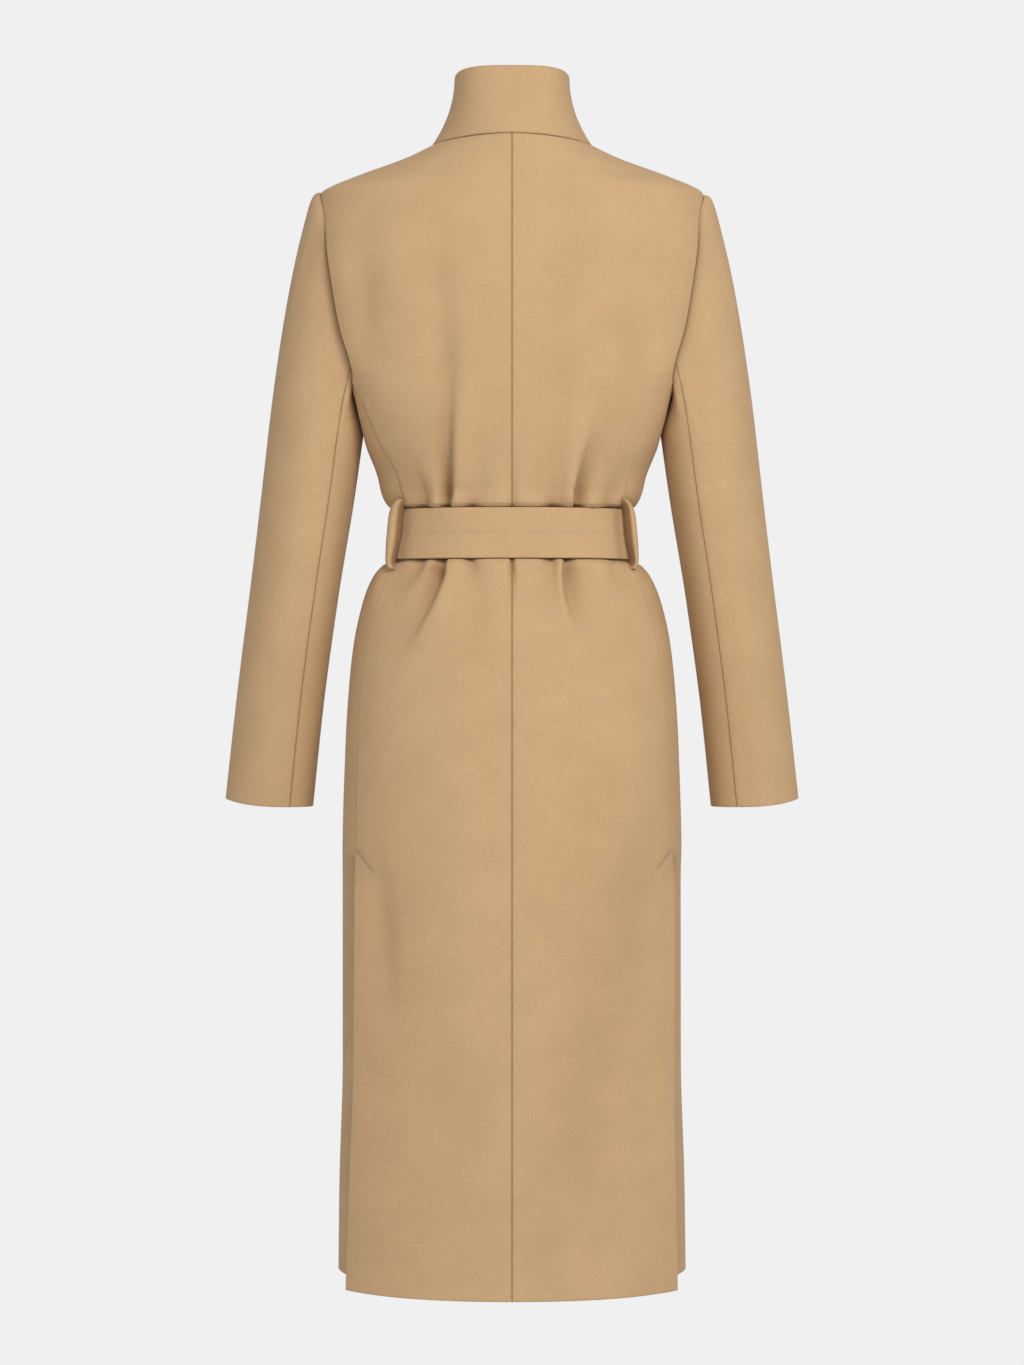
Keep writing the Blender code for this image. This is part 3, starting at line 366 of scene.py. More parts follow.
# Belt, its knot and hanging ends
BELT_CLEAR = 0.0010
BELT_LINE_DEPTH = 0.0005
BELT_LINE_WIDTH = 0.0016
# Painted shade along the belt's pressed middle line
BELT_LINE_SHADE = 0.075
BELT_WAVE = 0.0007
BELT_WAVE_COUNT = 3
BELT_WAVE_PHASE = 0.8
BELT_WAVE_TILT = 2.0
KNOT_WIDTH = 0.0560
KNOT_HEIGHT = 0.0600
KNOT_DEPTH = 0.0260
KNOT_WAIST = 0.16
KNOT_END_POWER = 0.45
KNOT_SIDE_POWER = 0.6
KNOT_FACE_POWER = 0.7
KNOT_FACE_FADE = KNOT_DEPTH / 4
KNOT_SLANT = 0.35
KNOT_PLEAT_COLUMNS = ("place", "depth", "half_width")
KNOT_PLEATS = (
    (-0.0150, 0.0036, 0.0022),
    (-0.0050, 0.0046, 0.0026),
    (0.0060, 0.0030, 0.0018),
    (0.0150, 0.0040, 0.0024),
)
KNOT_TURN_SLANT = 0.45
KNOT_TURN_LOW = -0.0150
KNOT_TURN_EDGE = 0.0022
KNOT_TURN_STEP = 0.0050
# Painted shade in the knot's pleats and along the edge of its upper turn
KNOT_SHADE = 0.55
KNOT_SHADE_DEPTH = 0.0060
TAIL_LENGTHS = {"left": 0.4300, "right": 0.4700}
TAIL_NECK_WIDTH = 0.0270
TAIL_WIDTH = 0.0510
TAIL_OPENING = 0.0700
TAIL_NECK_OFFSET = 0.0150
TAIL_OPENING_OFFSET = 0.0120
TAIL_END_OFFSET = 0.0440
TAIL_SPREAD_SHARE = 1.2
TAIL_CLEAR = 0.0040
TAIL_NECK_LIFT = 0.0060
TAIL_WAVE = 0.0012
TAIL_WAVE_TURN = 11.0
TAIL_PLEATS = 2

# Belt loops; the angle is that of their sewn ends from the centre back
LOOP_ANGLE = math.radians(66.3)
LOOP_FORM_COLUMNS = ("rise", "width", "back")
LOOP_FORM = (
    (0.00, 0.0085, 0.0045),
    (0.12, 0.0130, 0.0012),
    (0.27, 0.0142, -0.0006),
    (0.54, 0.0142, -0.0012),
    (0.75, 0.0118, -0.0024),
    (0.90, 0.0095, -0.0030),
    (1.00, 0.0080, -0.0008),
)
LOOP_WALL = 0.0026
LOOP_CLEAR = 0.0008
LOOP_OVERHANG = 0.0095
LOOP_ARCH = 0.14
LOOP_STAND = 0.0030
LOOP_TWIST = math.radians(30)
LOOP_ROUND = 0.0040
LOOP_CURL = 0.0035
LOOP_WIDTH_SHARES = {"left": 1.0, "right": 0.78}
# Painted shade on each loop's inner flank, and painted shadow on the belt beside the loop
LOOP_SHADE = 0.74
LOOP_SHADE_STARTS = {"left": 0.15, "right": 0.02}
LOOP_SHADE_REACH = 0.22
LOOP_SHADOW = 0.25
LOOP_SHADOW_START = 0.055
LOOP_SHADOW_REACH = 0.030

# Rows and columns of the fine meshes; panel rows are counted between the levels of their shape
BELT_MARKS = (BELT_TOP + BLOUSE, BELT_TOP, BELT_BOTTOM, BELT_BOTTOM - BLOUSE)
BACK_ROW_COUNTS = (16, 60, 52, 26, 8, 26, 52, 34, 76)
FRONT_ROW_COUNTS = (16, 64, 40, 24, 8, 24, 48, 34, 70)
BACK_COLUMNS = 126
FRONT_COLUMNS = 110
SLEEVE_CAP_ROWS = 56
SLEEVE_ARM_ROWS = 96
SLEEVE_COLUMN_COUNTS = {"upper": 72, "under": 44}
COLLAR_ROWS = 34
COLLAR_COLUMNS = 240
BELT_ROWS = 26
BELT_COLUMNS = 300
TAIL_ROWS = 120
TAIL_COLUMNS = 28
KNOT_ROWS = 72
KNOT_COLUMNS = 96
LOOP_ROWS = 60
LOOP_COLUMNS = 22
ROW_LENGTH_STEPS = 24

# Small steps for finding slopes: angle and level
ANGLE_STEP = 0.0008
LEVEL_STEP = 0.0002

# Photograph's camera: level with the hips, straight behind the coat
PHOTO_HEIGHT_PIXELS = 1365
FOCAL_PIXELS = 3880
CAMERA_DISTANCE = 4.0
CAMERA_LEVEL = -0.5525
SENSOR_HEIGHT_MM = 36.0

# Wool colours and grain
CAMEL_DARK = (0.500, 0.325, 0.172, 1.0)
CAMEL_LIGHT = (0.620, 0.412, 0.222, 1.0)
MOTTLE_COLOUR = (0.950, 0.945, 0.935, 1.0)
# Colour that darkens the seam lines and the painted shade and shadow
SEAM_AND_PAINTED_SHADE_COLOUR = (0.300, 0.205, 0.130, 1.0)
FLECK_SCALE = 860.0
FLECK_DETAIL = 2.0
FIBRE_SCALE = 480.0
FIBRE_DETAIL = 3.0
FIBRE_STRETCH = 3.0
FIBRE_TURN = math.radians(35)
MOTTLE_SCALE = 22.0
MOTTLE_DETAIL = 3.0
FLECK_LOW = 0.37
FLECK_HIGH = 0.63
MOTTLE_LOW = 0.35
MOTTLE_HIGH = 0.65
NAP_STRENGTH = 0.55
NAP_HEIGHT = 0.0006
GRAIN_SHARE = 0.5
WOOL_FINISH = {
    "Roughness": 0.92,
    "Specular IOR Level": 0.15,
    "Sheen Weight": 0.08,
    "Sheen Roughness": 0.45,
    "Sheen Tint": (1.0, 0.90, 0.78, 1.0),
}

# Studio
BACKDROP = (0.871, 0.871, 0.871, 1.0)
FLOOR_COLOUR = (0.80, 0.80, 0.80, 1.0)
FLOOR_LEVEL = -1.450
FLOOR_HALF = 30.0
AMBIENT_COLOUR = (0.96, 0.97, 1.0, 1.0)
AMBIENT_STRENGTH = 0.52
LAMP_COLUMNS = ("name", "place", "width", "height", "watts", "colour")
LAMPS = (
    ("key", (-1.5, 3.2, 1.6), 1.4, 1.4, 86.0, (1.0, 0.97, 0.93)),
    ("fill", (1.6, 3.6, 0.0), 1.6, 2.2, 23.0, (0.97, 0.97, 0.98)),
)
LAMP_TARGET = (0.0, 0.0, -0.55)

SIDES = {"left": 1.0, "right": -1.0}
FOLDED_ALL_ROUND = dict.fromkeys(("top", "bottom", "first", "last"), 0.0)
MIDDLE_SHARE = 0.5


def columns(names, rows):
    """A table's columns by name."""
    return dict(zip(names, np.array(rows, dtype=float).T))


def named_rows(names, rows):
    """A table's rows, each with its values by name."""
    return [dict(zip(names, row)) for row in rows]


RING = columns(RING_COLUMNS, RINGS)
SEAM = columns(SIDE_SEAM_COLUMNS, SIDE_SEAM)
HOLE_BACK = columns(ARMHOLE_BACK_COLUMNS, ARMHOLE_BACK)
HOLE_FRONT = columns(ARMHOLE_FRONT_COLUMNS, ARMHOLE_FRONT)
SLEEVE = columns(SLEEVE_COLUMNS, SLEEVE_RINGS)
OVERLAP = columns(WRAP_COLUMNS, WRAP)
TURN = columns(SLEEVE_TURN_COLUMNS, SLEEVE_TURN)
LOOP = columns(LOOP_FORM_COLUMNS, LOOP_FORM)


# Curves

def smooth(at, places, values):
    """Monotone cubic through a table column, held at its ends."""
    at = np.clip(np.asarray(at, dtype=float), places[0], places[-1])
    step = np.diff(places)
    slope = np.diff(values) / step
    same_way = slope[:-1] * slope[1:] > 0
    total = np.where(same_way, slope[:-1] + slope[1:], 1.0)
    tangent = np.empty_like(values)
    tangent[1:-1] = np.where(same_way, 2 * slope[:-1] * slope[1:] / total, 0.0)
    tangent[0] = slope[0]
    tangent[-1] = slope[-1]
    i = np.clip(np.searchsorted(places, at, side="right") - 1, 0, len(step) - 1)
    u = (at - places[i]) / step[i]
    rise = values[i + 1] - values[i]
    start = step[i] * tangent[i]
    end = step[i] * tangent[i + 1]
    return values[i] + u * (start + u * ((3 * rise - 2 * start - end) + u * (start + end - 2 * rise)))


def ramp(value, low, high):
    """0 below low, 1 above high, with a soft start and end."""
    u = np.clip((value - low) / (high - low), 0.0, 1.0)
    return u * u * (3 - 2 * u)


def bump(value, width):
    """1 at zero, falling softly to both sides."""
    return np.exp(-(value / width) ** 2)


def unit(vectors):
    """Vectors at length 1."""
    return vectors / np.linalg.norm(vectors, axis=-1, keepdims=True)


# Form of the body

def oval(angle, half_width, back_depth, front_depth, squareness):
    """Plan point of a superellipse at a polar angle from +Y."""
    s = np.sin(angle)
    c = np.cos(angle)
    depth = np.where(c > 0, back_depth, front_depth)
    total = np.abs(s / half_width) ** squareness + np.abs(c / depth) ** squareness
    radius = total ** (-1.0 / squareness)
    return radius * s, radius * c


def neck_drop(angle, level):
    """How far a ring falls towards the front and rises at the back near the neck."""
    reach = 1.0 - ramp(-level, 0.0, NECK_DROP_REACH)
    c = np.cos(angle)
    front = np.maximum(-c, 0.0) ** NECK_DROP_POWER
    return reach * (NECK_FRONT_DROP * front - NECK_BACK_RISE * np.maximum(c, 0.0) ** 2)


def body_form(angle, level):
    """Point of the body's outside before its folds."""
    angle, level = np.broadcast_arrays(np.asarray(angle, float), np.asarray(level, float))
    sizes = [smooth(level, RING["level"], RING[name]) for name in RING_COLUMNS[1:]]
    x, y = oval(angle, *sizes)
    turned = np.abs((angle + math.pi) % (2 * math.pi) - math.pi)
    pinch = bump(turned - UNDERARM_ANGLE, UNDERARM_SPREAD) * bump(level - UNDERARM_LEVEL, UNDERARM_HEIGHT)
    x = x - np.sign(np.sin(angle)) * UNDERARM_DEPTH * pinch
    return np.stack([x, y, level - neck_drop(angle, level)], axis=-1)


def outward(surface, angle, level):
    """Outward unit normal of a surface given by angle and level."""
    across = surface(angle + ANGLE_STEP, level) - surface(angle - ANGLE_STEP, level)
    down = surface(angle, level - LEVEL_STEP) - surface(angle, level + LEVEL_STEP)
    return unit(np.cross(across, down))


def crease_height(point):
    """Outward height of the creases that the belt draws in."""
    x, y, z = np.moveaxis(point, -1, 0)
    height = np.zeros_like(x)
    for crease in named_rows(CREASE_COLUMNS, CREASES):
        along = (z - crease["start_z"]) / (crease["end_z"] - crease["start_z"])
        middle = (crease["middle_z"] - crease["start_z"]) / (crease["end_z"] - crease["start_z"])
        t = np.clip(along, 0.0, 1.0)
        line = crease["start_x"] * (t - middle) * (t - 1) / middle
        line = line + crease["middle_x"] * t * (t - 1) / (middle * (middle - 1))
        line = line + crease["end_x"] * t * (t - middle) / (1 - middle)
        aside = (x - line) / (1 + CREASE_SPREAD * t)
        flank = np.where(aside > 0, crease["left_flank"], crease["right_flank"])
        length = abs(crease["end_z"] - crease["start_z"])
        strength = (1 - t) ** CREASE_FADE_POWER * ramp(along * length, -CREASE_START_FADE, 0.0)
        strength = strength * ramp(crease["face"] * y, CREASE_FACE_START, CREASE_FACE_END)
        ridge = bump(aside - crease["ridge_x"], CREASE_RIDGE_WIDTH)
        ridge = ridge * ramp(along * length, 0.0, CREASE_START_FADE)
        height = height + strength * (crease["ridge"] * ridge - crease["depth"] * bump(aside, flank))
    return height


def drape_height(point):
    """Outward height of the wide soft troughs of the hanging cloth."""
    x, y, z = np.moveaxis(point, -1, 0)
    height = np.zeros_like(x)
    for drape in named_rows(DRAPE_COLUMNS, DRAPES):
        lean = (drape["bottom_x"] - drape["top_x"]) / (drape["bottom_z"] - drape["top_z"])
        aside = (x - drape["top_x"] - lean * (z - drape["top_z"])) / math.hypot(1.0, lean)
        ends = ramp(drape["top_z"] - z, -DRAPE_END_FADE, DRAPE_END_FADE)
        ends = ends * ramp(z - drape["bottom_z"], -DRAPE_END_FADE, DRAPE_END_FADE)
        face = ramp(drape["face"] * y, CREASE_FACE_START, CREASE_FACE_END)
        height = height - drape["depth"] * ends * face * bump(aside, drape["half_width"])
    return height


def gather_height(angle, level):
    """Outward height of the small gathers above and below the belt."""
    away = np.maximum(level - BELT_TOP, BELT_BOTTOM - level)
    strength = ramp(away, 0.0, CREASE_START_FADE) * (1 - ramp(away, CREASE_START_FADE, GATHER_REACH))
    height = np.zeros(np.broadcast(angle, level).shape)
    for gather in named_rows(GATHER_COLUMNS, GATHERS):
        height = height + gather["height"] * np.sin(gather["waves"] * angle + gather["phase"])
    return height * strength


def belt_fill(angle, level):
    """Outward height of the cloth that swells over the belt's edges."""
    away = np.maximum(level - BELT_TOP, BELT_BOTTOM - level)
    swell = ramp(away, 0.0, BELT_FILL_RISE) * (1 - ramp(away, BELT_FILL_RISE, BELT_FILL_REACH))
    return BELT_FILL * swell * ramp(np.abs(np.cos(angle)), BELT_FILL_START, BELT_FILL_FULL)


def body_cloth(angle, level):
    """Point of the body's outside with its folds, and its outward way."""
    form = body_form(angle, level)
    out = outward(body_form, angle, level)
    level_out = unit(out * (1.0, 1.0, 0.0))
    folds = crease_height(form) + gather_height(angle, level) + belt_fill(angle, level)
    return form + level_out * folds[..., None] + out * drape_height(form)[..., None], out


def fold_shade(angle, level):
    """How much painted shade darkens the cloth down in its folds."""
    form = body_form(angle, level)
    depth = -crease_height(form) - drape_height(form)
    return FOLD_SHADE * np.clip(depth / FOLD_DEPTH, 0.0, 1.0)


def side_line(side, level):
    """How dark the line of a side seam is: faint on the skirt, and on one side of the bodice."""
    return np.where(level > SIDE_SEAM_TOP, 1.0, np.where(level > BELT_TOP, SIDE_LINES[side], SKIRT_SIDE_LINE))


def side_seam_angle(side, level):
    """Angle of a side seam at a level."""
    return SIDES[side] * np.radians(smooth(level, SEAM["level"], SEAM[side]))


def arc_to_angle(distance, level):
    """Angle that spans a short distance round the body at a level."""
    return distance / smooth(level, RING["level"], RING["front_depth"])


def wrap_angle(level):
    """How far the right front's edge lies past the centre front."""
    return arc_to_angle(smooth(level, OVERLAP["level"], OVERLAP["overlap"]), level)


def wrap_step(angle, level):
    """0 clear of the wrap, 1 on the left side where the right edge covers it."""
    edge = math.pi - wrap_angle(level)
    return ramp(angle, edge - WRAP_STEP_START, edge - WRAP_STEP_END)


def front_step(side, angle, level):
    """How far a front panel lies inside the body's outside: at a vent, and the left one under the wrap."""
    turned = np.abs(angle)
    seam = np.abs(side_seam_angle(side, level))
    width = arc_to_angle(VENT_STEP_WIDTH, level)
    beside_vent = 1.0 - ramp(turned, seam + width * VENT_STEP_FLAT, seam + width)
    vent = ramp(VENT_TOP - level, 0.0, VENT_SLOPE) * beside_vent
    wrap = wrap_step(SIDES["left"] * turned, level) if side == "left" else np.zeros_like(turned)
    return (CLOTH_WALL + LAYER_GAP) * np.maximum(vent, wrap)


# Cloth walls

def path_length(points, axis):
    """Length along a grid's rows or columns, from its first point."""
    step = np.linalg.norm(np.diff(points, axis=axis), axis=-1)
    length = np.cumsum(step, axis=axis)
    first = np.zeros_like(np.take(length, [0], axis=axis))
    return np.concatenate([first, length], axis=axis)


def edge_distances(points):
    """Distance of each grid point from the grid's top, bottom, first and last edge."""
    down = path_length(points, 0)
    across = path_length(points, 1)
    return {"top": down, "bottom": down[-1:] - down, "first": across, "last": across[:, -1:] - across}


def folded_edge(distance, radius):
    """How far each face of a wall turns in towards its middle at a folded edge."""
    u = np.clip(distance / radius, 0.0, 1.0)
    return radius * (1 - np.sqrt(np.maximum(1 - (1 - u) ** 2, 0.0)))


def seam_edge(distance):
    """How far the outside turns in at a sewn edge, with a slight swell beside it."""
    roll = SEAM_DEPTH * np.clip(1 - distance / SEAM_WIDTH, 0.0, 1.0) ** 2
    return roll - SEAM_PUFF * bump(distance - SEAM_PUFF_PLACE, SEAM_PUFF_WIDTH)


def by_edge(values, name):
    """An edge's values as a grid: one number, or one for each row or column."""
    values = np.asarray(values, dtype=float)
    if values.ndim == 0:
        return values
    return values[:, None] if name in ("first", "last") else values[None, :]


def finish_edges(outer, out, wall, edges, lines=None, fold_share=FOLDED_EDGE_SHARE):
    """Outer and inner points of a wall, its dark seam lines and the painted shade along its folded edges.

    edges gives each edge's kind, sewn from 0 for a folded edge to 1 for a seam, and lines how dark the line
    along it is, each as one number or one for each row or column.
    """
    inner = outer - out * wall
    shade = np.zeros(outer.shape[:2])
    turn_out = np.zeros(outer.shape[:2])
    turn_in = np.zeros(outer.shape[:2])
    for name, distance in edge_distances(outer).items():
        if name not in edges:
            continue
        sewn = by_edge(edges[name], name)
        line = by_edge((lines or {}).get(name, 1.0), name)
        fold = folded_edge(distance, wall * fold_share) * (1 - sewn)
        turn_out = np.maximum(turn_out, fold) + seam_edge(distance) * sewn
        turn_in = np.maximum(turn_in, fold)
        # Dark seam lines along sewn edges, and painted shade along folded edges
        mark = sewn * SEAM_SHADE * np.exp(-distance / SEAM_SHADE_WIDTH)
        mark = mark + (1 - sewn) * RIM_SHADE * np.exp(-distance / RIM_SHADE_WIDTH)
        shade = np.maximum(shade, line * mark)
    return outer - out * turn_out[..., None], inner + out * turn_in[..., None], shade


def grid_index(points, closed):
    """Point numbers of a grid; a closed one has its first column again at the end."""
    index = np.arange(points[..., 0].size).reshape(points.shape[:2])
    return np.concatenate([index, index[:, :1]], axis=1) if closed else index


def grid_faces(index):
    """Four-cornered faces of a grid of point numbers."""
    return np.stack([index[:-1, :-1], index[1:, :-1], index[1:, 1:], index[:-1, 1:]], axis=-1).reshape(-1, 4)


def new_object(name, data):
    """An object in the scene."""
    item = bpy.data.objects.new(name, data)
    bpy.context.scene.collection.objects.link(item)
    return item


def cloth_wall(name, outer, inner, shade, closed=False):
    """A closed wall between two grids of points, with its cloth coordinates, dark seam lines and painted
    shade.
    """
    inside = outer[..., 0].size
    points = np.concatenate([outer.reshape(-1, 3), inner.reshape(-1, 3)])
    index = grid_index(outer, closed)
    face = grid_faces(index)
    rims = [index[0, :], index[-1, ::-1]]
    if not closed:
        rims += [index[::-1, 0], index[:, -1]]
    rim = np.concatenate([np.stack([r[:-1], r[1:], r[1:] + inside, r[:-1] + inside], axis=-1) for r in rims])
    faces = np.concatenate([face, face[:, ::-1] + inside, rim])
    flat = points[faces]
    volume = np.einsum("ij,ij->i", flat[:, 0], np.cross(flat[:, 1], flat[:, 2])).sum()
    volume += np.einsum("ij,ij->i", flat[:, 0], np.cross(flat[:, 2], flat[:, 3])).sum()
    if volume < 0:
        faces = faces[:, ::-1]
    mesh = bpy.data.meshes.new(name)
    mesh.from_pydata(points.tolist(), [], faces.tolist())
    cloth = np.stack([path_length(outer, 1), path_length(outer, 0)], axis=-1).reshape(-1, 2)
    cloth = np.concatenate([cloth, cloth])
    corners = np.empty(len(mesh.loops), dtype=np.int32)
    mesh.loops.foreach_get("vertex_index", corners)
    mesh.uv_layers.new(name="cloth").data.foreach_set("uv", cloth[corners].astype(np.float32).ravel())
    return finished_piece(mesh, np.concatenate([shade.ravel(), shade.ravel()]))


def finished_piece(mesh, shade):
    """A smooth object from a mesh, with its points' dark seam lines and painted shade."""
    mesh.update()
    mesh.shade_smooth()
    # The seam attribute carries the dark seam lines and all painted shade and shadow of a piece
    seam = mesh.attributes.new("seam", "FLOAT", "POINT")
    seam.data.foreach_set("value", shade.astype(np.float32))
    return new_object(mesh.name, mesh)


def spaced(marks, counts):
    """Values through the marks with a count of steps between each two."""
    parts = [np.linspace(a, b, n, endpoint=False) for a, b, n in zip(marks, marks[1:], counts)]
    return np.concatenate(parts + [[marks[-1]]])


def with_edge_rows(levels):
    """Levels, falling, with closer rows at the two ends."""
    ends = np.concatenate([levels[0] - np.array(EDGE_MARKS), levels[-1] + np.array(EDGE_MARKS)])
    inside = levels[(levels < levels[0] - EDGE_MARKS[-1]) & (levels > levels[-1] + EDGE_MARKS[-1])]
    return np.sort(np.concatenate([ends, inside]))[::-1]


def across_shares(lengths, count):
    """Shares across each row, closer at the two edges."""
    marks = np.array(EDGE_MARKS) / np.maximum(np.asarray(lengths, dtype=float), NARROW_PIECE)[:, None]
    between = np.linspace(0, 1, count - 2 * len(EDGE_MARKS) + 2)[1:-1]
    first = marks[:, -1:]
    middle = first + (1 - 2 * first) * between
    return np.concatenate([marks, middle, 1 - marks[:, ::-1]], axis=1)


def inset_edge(angle, level, towards):
    """Angle moved half a seam gap in from a panel's edge; towards is the sign of the way in."""
    span = body_form(angle + ANGLE_STEP, level) - body_form(angle - ANGLE_STEP, level)
    speed = np.linalg.norm(span, axis=-1) / (2 * ANGLE_STEP)
    return angle + towards * SEAM_GAP / 2 / speed


def row_lengths(first_angle, last_angle, first_level, last_level):
    """Length of each row of a panel."""
    share = np.linspace(0, 1, ROW_LENGTH_STEPS)
    angle = first_angle[:, None] + (last_angle - first_angle)[:, None] * share
    level = first_level[:, None] + (last_level - first_level)[:, None] * share
    return path_length(body_form(angle, level), 1)[:, -1]


# Back and front panels

def armhole_back_angle(level):
    """Angle of the back panel's armhole edge at a level."""
    return np.radians(smooth(level, HOLE_BACK["level"], HOLE_BACK["angle"]))


def armhole_front(share):
    """Angle and level of the front panel's armhole edge, from the side seam up to the shoulder tip."""
    angle = np.radians(smooth(share, HOLE_FRONT["share"], HOLE_FRONT["angle"]))
    return angle, smooth(share, HOLE_FRONT["share"], HOLE_FRONT["level"])


def armhole_roll(distance, level):
    """How far the back panel's cloth rolls out beside the armhole; distance is that from the panel's edge."""
    along = ramp(ROLL_TOP - level, 0.0, ROLL_TOP_FADE)
    along = along * ramp(level - SIDE_SEAM_TOP, -ROLL_BOTTOM_FADE, ROLL_BOTTOM_FADE)
    edge = 1 - np.clip(distance / ROLL_EDGE, 0.0, 1.0)
    return ROLL_HEIGHT * along * np.sqrt(1 - edge ** 2) * (1 - ramp(distance, ROLL_EDGE, ROLL_WIDTH))


def vent_lift(distance, level):
    """How far the back panel's cloth stands off beside a vent; distance is that from the panel's edge."""
    near = np.clip(1 - distance / VENT_LIFT_WIDTH, 0.0, 1.0)
    return VENT_LIFT * near ** 2 * ramp(VENT_TOP - level, 0.0, VENT_LIFT_FADE)


def back_panel(side):
    """One back panel, from the centre back seam out to the shoulder, armhole, side seam and vent."""
    sign = SIDES[side]
    marks = (0.0, SHOULDER_TIP, SIDE_SEAM_TOP, *BELT_MARKS, HIP_LEVEL, VENT_TOP, BACK_HEM)
    level = with_edge_rows(spaced(marks, BACK_ROW_COUNTS))
    edge = np.where(level > SHOULDER_TIP, math.pi / 2, armhole_back_angle(level))
    edge = np.where(level < SIDE_SEAM_TOP, np.abs(side_seam_angle(side, level)), edge)
    edge = inset_edge(sign * edge, level, -sign)
    centre = inset_edge(np.zeros_like(level), level, sign)
    share = across_shares(row_lengths(centre, edge, level, level), BACK_COLUMNS)
    angle = centre[:, None] + (edge - centre)[:, None] * share
    hem_rise = HEM_CORNER_RISE * share ** 2 * ramp(-level, -VENT_TOP, -BACK_HEM)[:, None]
    levels = level[:, None] + hem_rise
    outer, out = body_cloth(angle, levels)
    from_edge = edge_distances(outer)["last"]
    lift = armhole_roll(from_edge, level[:, None]) + vent_lift(from_edge, level[:, None])
    outer = outer + lift[..., None] * (0.0, 1.0, 0.0)
    sewn_side = ramp(level, VENT_TOP - EDGE_MARKS[-1], VENT_TOP)
    edges = {"top": 1.0, "bottom": 0.0, "first": 1.0, "last": sewn_side}
    outer, inner, shade = finish_edges(outer, out, CLOTH_WALL, edges, {"last": side_line(side, level)})
    # Painted shade in the folds joins the seam lines and the painted shade along the folded edges
    return cloth_wall("back_" + side + "_cloth", outer, inner, np.maximum(shade, fold_shade(angle, levels)))


def front_panel(side):
    """One front panel, from the side seam and vent underlap round to its wrap edge."""
    sign = SIDES[side]
    shoulder = np.linspace(0, SHOULDER_TIP, FRONT_ROW_COUNTS[0], endpoint=False)
    shoulder = np.concatenate([-np.array(EDGE_MARKS), shoulder[shoulder < -EDGE_MARKS[-1]]])
    hole_share = np.linspace(1, 0, FRONT_ROW_COUNTS[1], endpoint=False)
    hole_angle, hole_level = armhole_front(hole_share)
    hole_centre = SHOULDER_TIP + (CENTRE_FRONT_ARMHOLE_END - SHOULDER_TIP) * (1 - hole_share)
    side_level = np.linspace(SIDE_SEAM_TOP, BELT_MARKS[0], FRONT_ROW_COUNTS[2], endpoint=False)
    side_centre = np.linspace(CENTRE_FRONT_ARMHOLE_END, BELT_MARKS[0], FRONT_ROW_COUNTS[2], endpoint=False)
    low = spaced((*BELT_MARKS, HIP_LEVEL, VENT_TOP, FRONT_HEM), FRONT_ROW_COUNTS[3:])
    low = np.concatenate([low[low > FRONT_HEM + EDGE_MARKS[-1]], FRONT_HEM + np.array(EDGE_MARKS)[::-1]])
    level = np.concatenate([shoulder, hole_level, side_level, low])
    centre_level = np.concatenate([shoulder, hole_centre, side_centre, low])
    seam_level = np.concatenate([side_level, low])
    seam_angle = np.abs(side_seam_angle(side, seam_level))
    edge = np.concatenate([np.full(len(shoulder), math.pi / 2), hole_angle, seam_angle])
    edge = edge - arc_to_angle(VENT_UNDERLAP, level) * ramp(VENT_TOP - VENT_SLOPE - level, 0.0, VENT_SLOPE)
    edge = inset_edge(sign * edge, level, sign)
    centre = sign * (math.pi + wrap_angle(centre_level))
    share = across_shares(row_lengths(edge, centre, level, centre_level), FRONT_COLUMNS)
    angle = edge[:, None] + (centre - edge)[:, None] * share
    levels = level[:, None] + (centre_level - level)[:, None] * share
    outer, out = body_cloth(angle, levels)
    outer = outer - out * front_step(side, angle, levels)[..., None]
    edges = {"top": 1.0, "bottom": 0.0, "first": ramp(level, VENT_TOP - VENT_SLOPE, VENT_TOP), "last": 0.0}
    outer, inner, shade = finish_edges(outer, out, CLOTH_WALL, edges, {"first": side_line(side, level)})
    # Painted shadow on the front panel beside the back panel's edge at a vent, and painted shade in the folds
    lapped = ramp(VENT_TOP - VENT_SLOPE - level, 0.0, VENT_SLOPE)[:, None]
    past_vent = np.maximum(edge_distances(outer)["first"] - VENT_UNDERLAP * lapped, 0.0)
    vent = VENT_SHADE * np.exp(-past_vent / VENT_SHADE_WIDTH)
    vent = vent * ramp(VENT_TOP - level, 0.0, VENT_SHADE_START)[:, None]
    shade = np.maximum(shade, np.maximum(vent, fold_shade(angle, levels)))
    return cloth_wall("front_" + side + "_cloth", outer, inner, shade)


# Sleeves

def from_shoulder_tip(share):
    """Place on the armhole counted from the shoulder tip, above 0 towards the back and below 0 the front."""
    return np.mod(share + ARMHOLE_ROUND / 2, ARMHOLE_ROUND) - ARMHOLE_ROUND / 2


def armhole_point(side, share):
    """Point, outward normal and way into the hole on the armhole; share 0 to 1 back, 1 to 2 front."""
    share = np.mod(share, ARMHOLE_ROUND)
    back_level = SHOULDER_TIP + (SIDE_SEAM_TOP - SHOULDER_TIP) * np.clip(share, 0, 1)
    front_angle, front_level = armhole_front(np.clip(share - 1, 0, 1))
    angle = SIDES[side] * np.where(share < 1, armhole_back_angle(back_level), front_angle)
    level = np.where(share < 1, back_level, front_level)
    point, normal = body_cloth(angle, level)
    inward = np.array(ARMHOLE_CENTRE) * (SIDES[side], 1, 1) - point
    from_tip = np.minimum(share, ARMHOLE_ROUND - share)
    inward[..., 2] *= 1 - ramp(from_tip, 0, ARMHOLE_TIP_SHARE)
    return point, normal, unit(inward - normal * np.sum(inward * normal, axis=-1, keepdims=True))


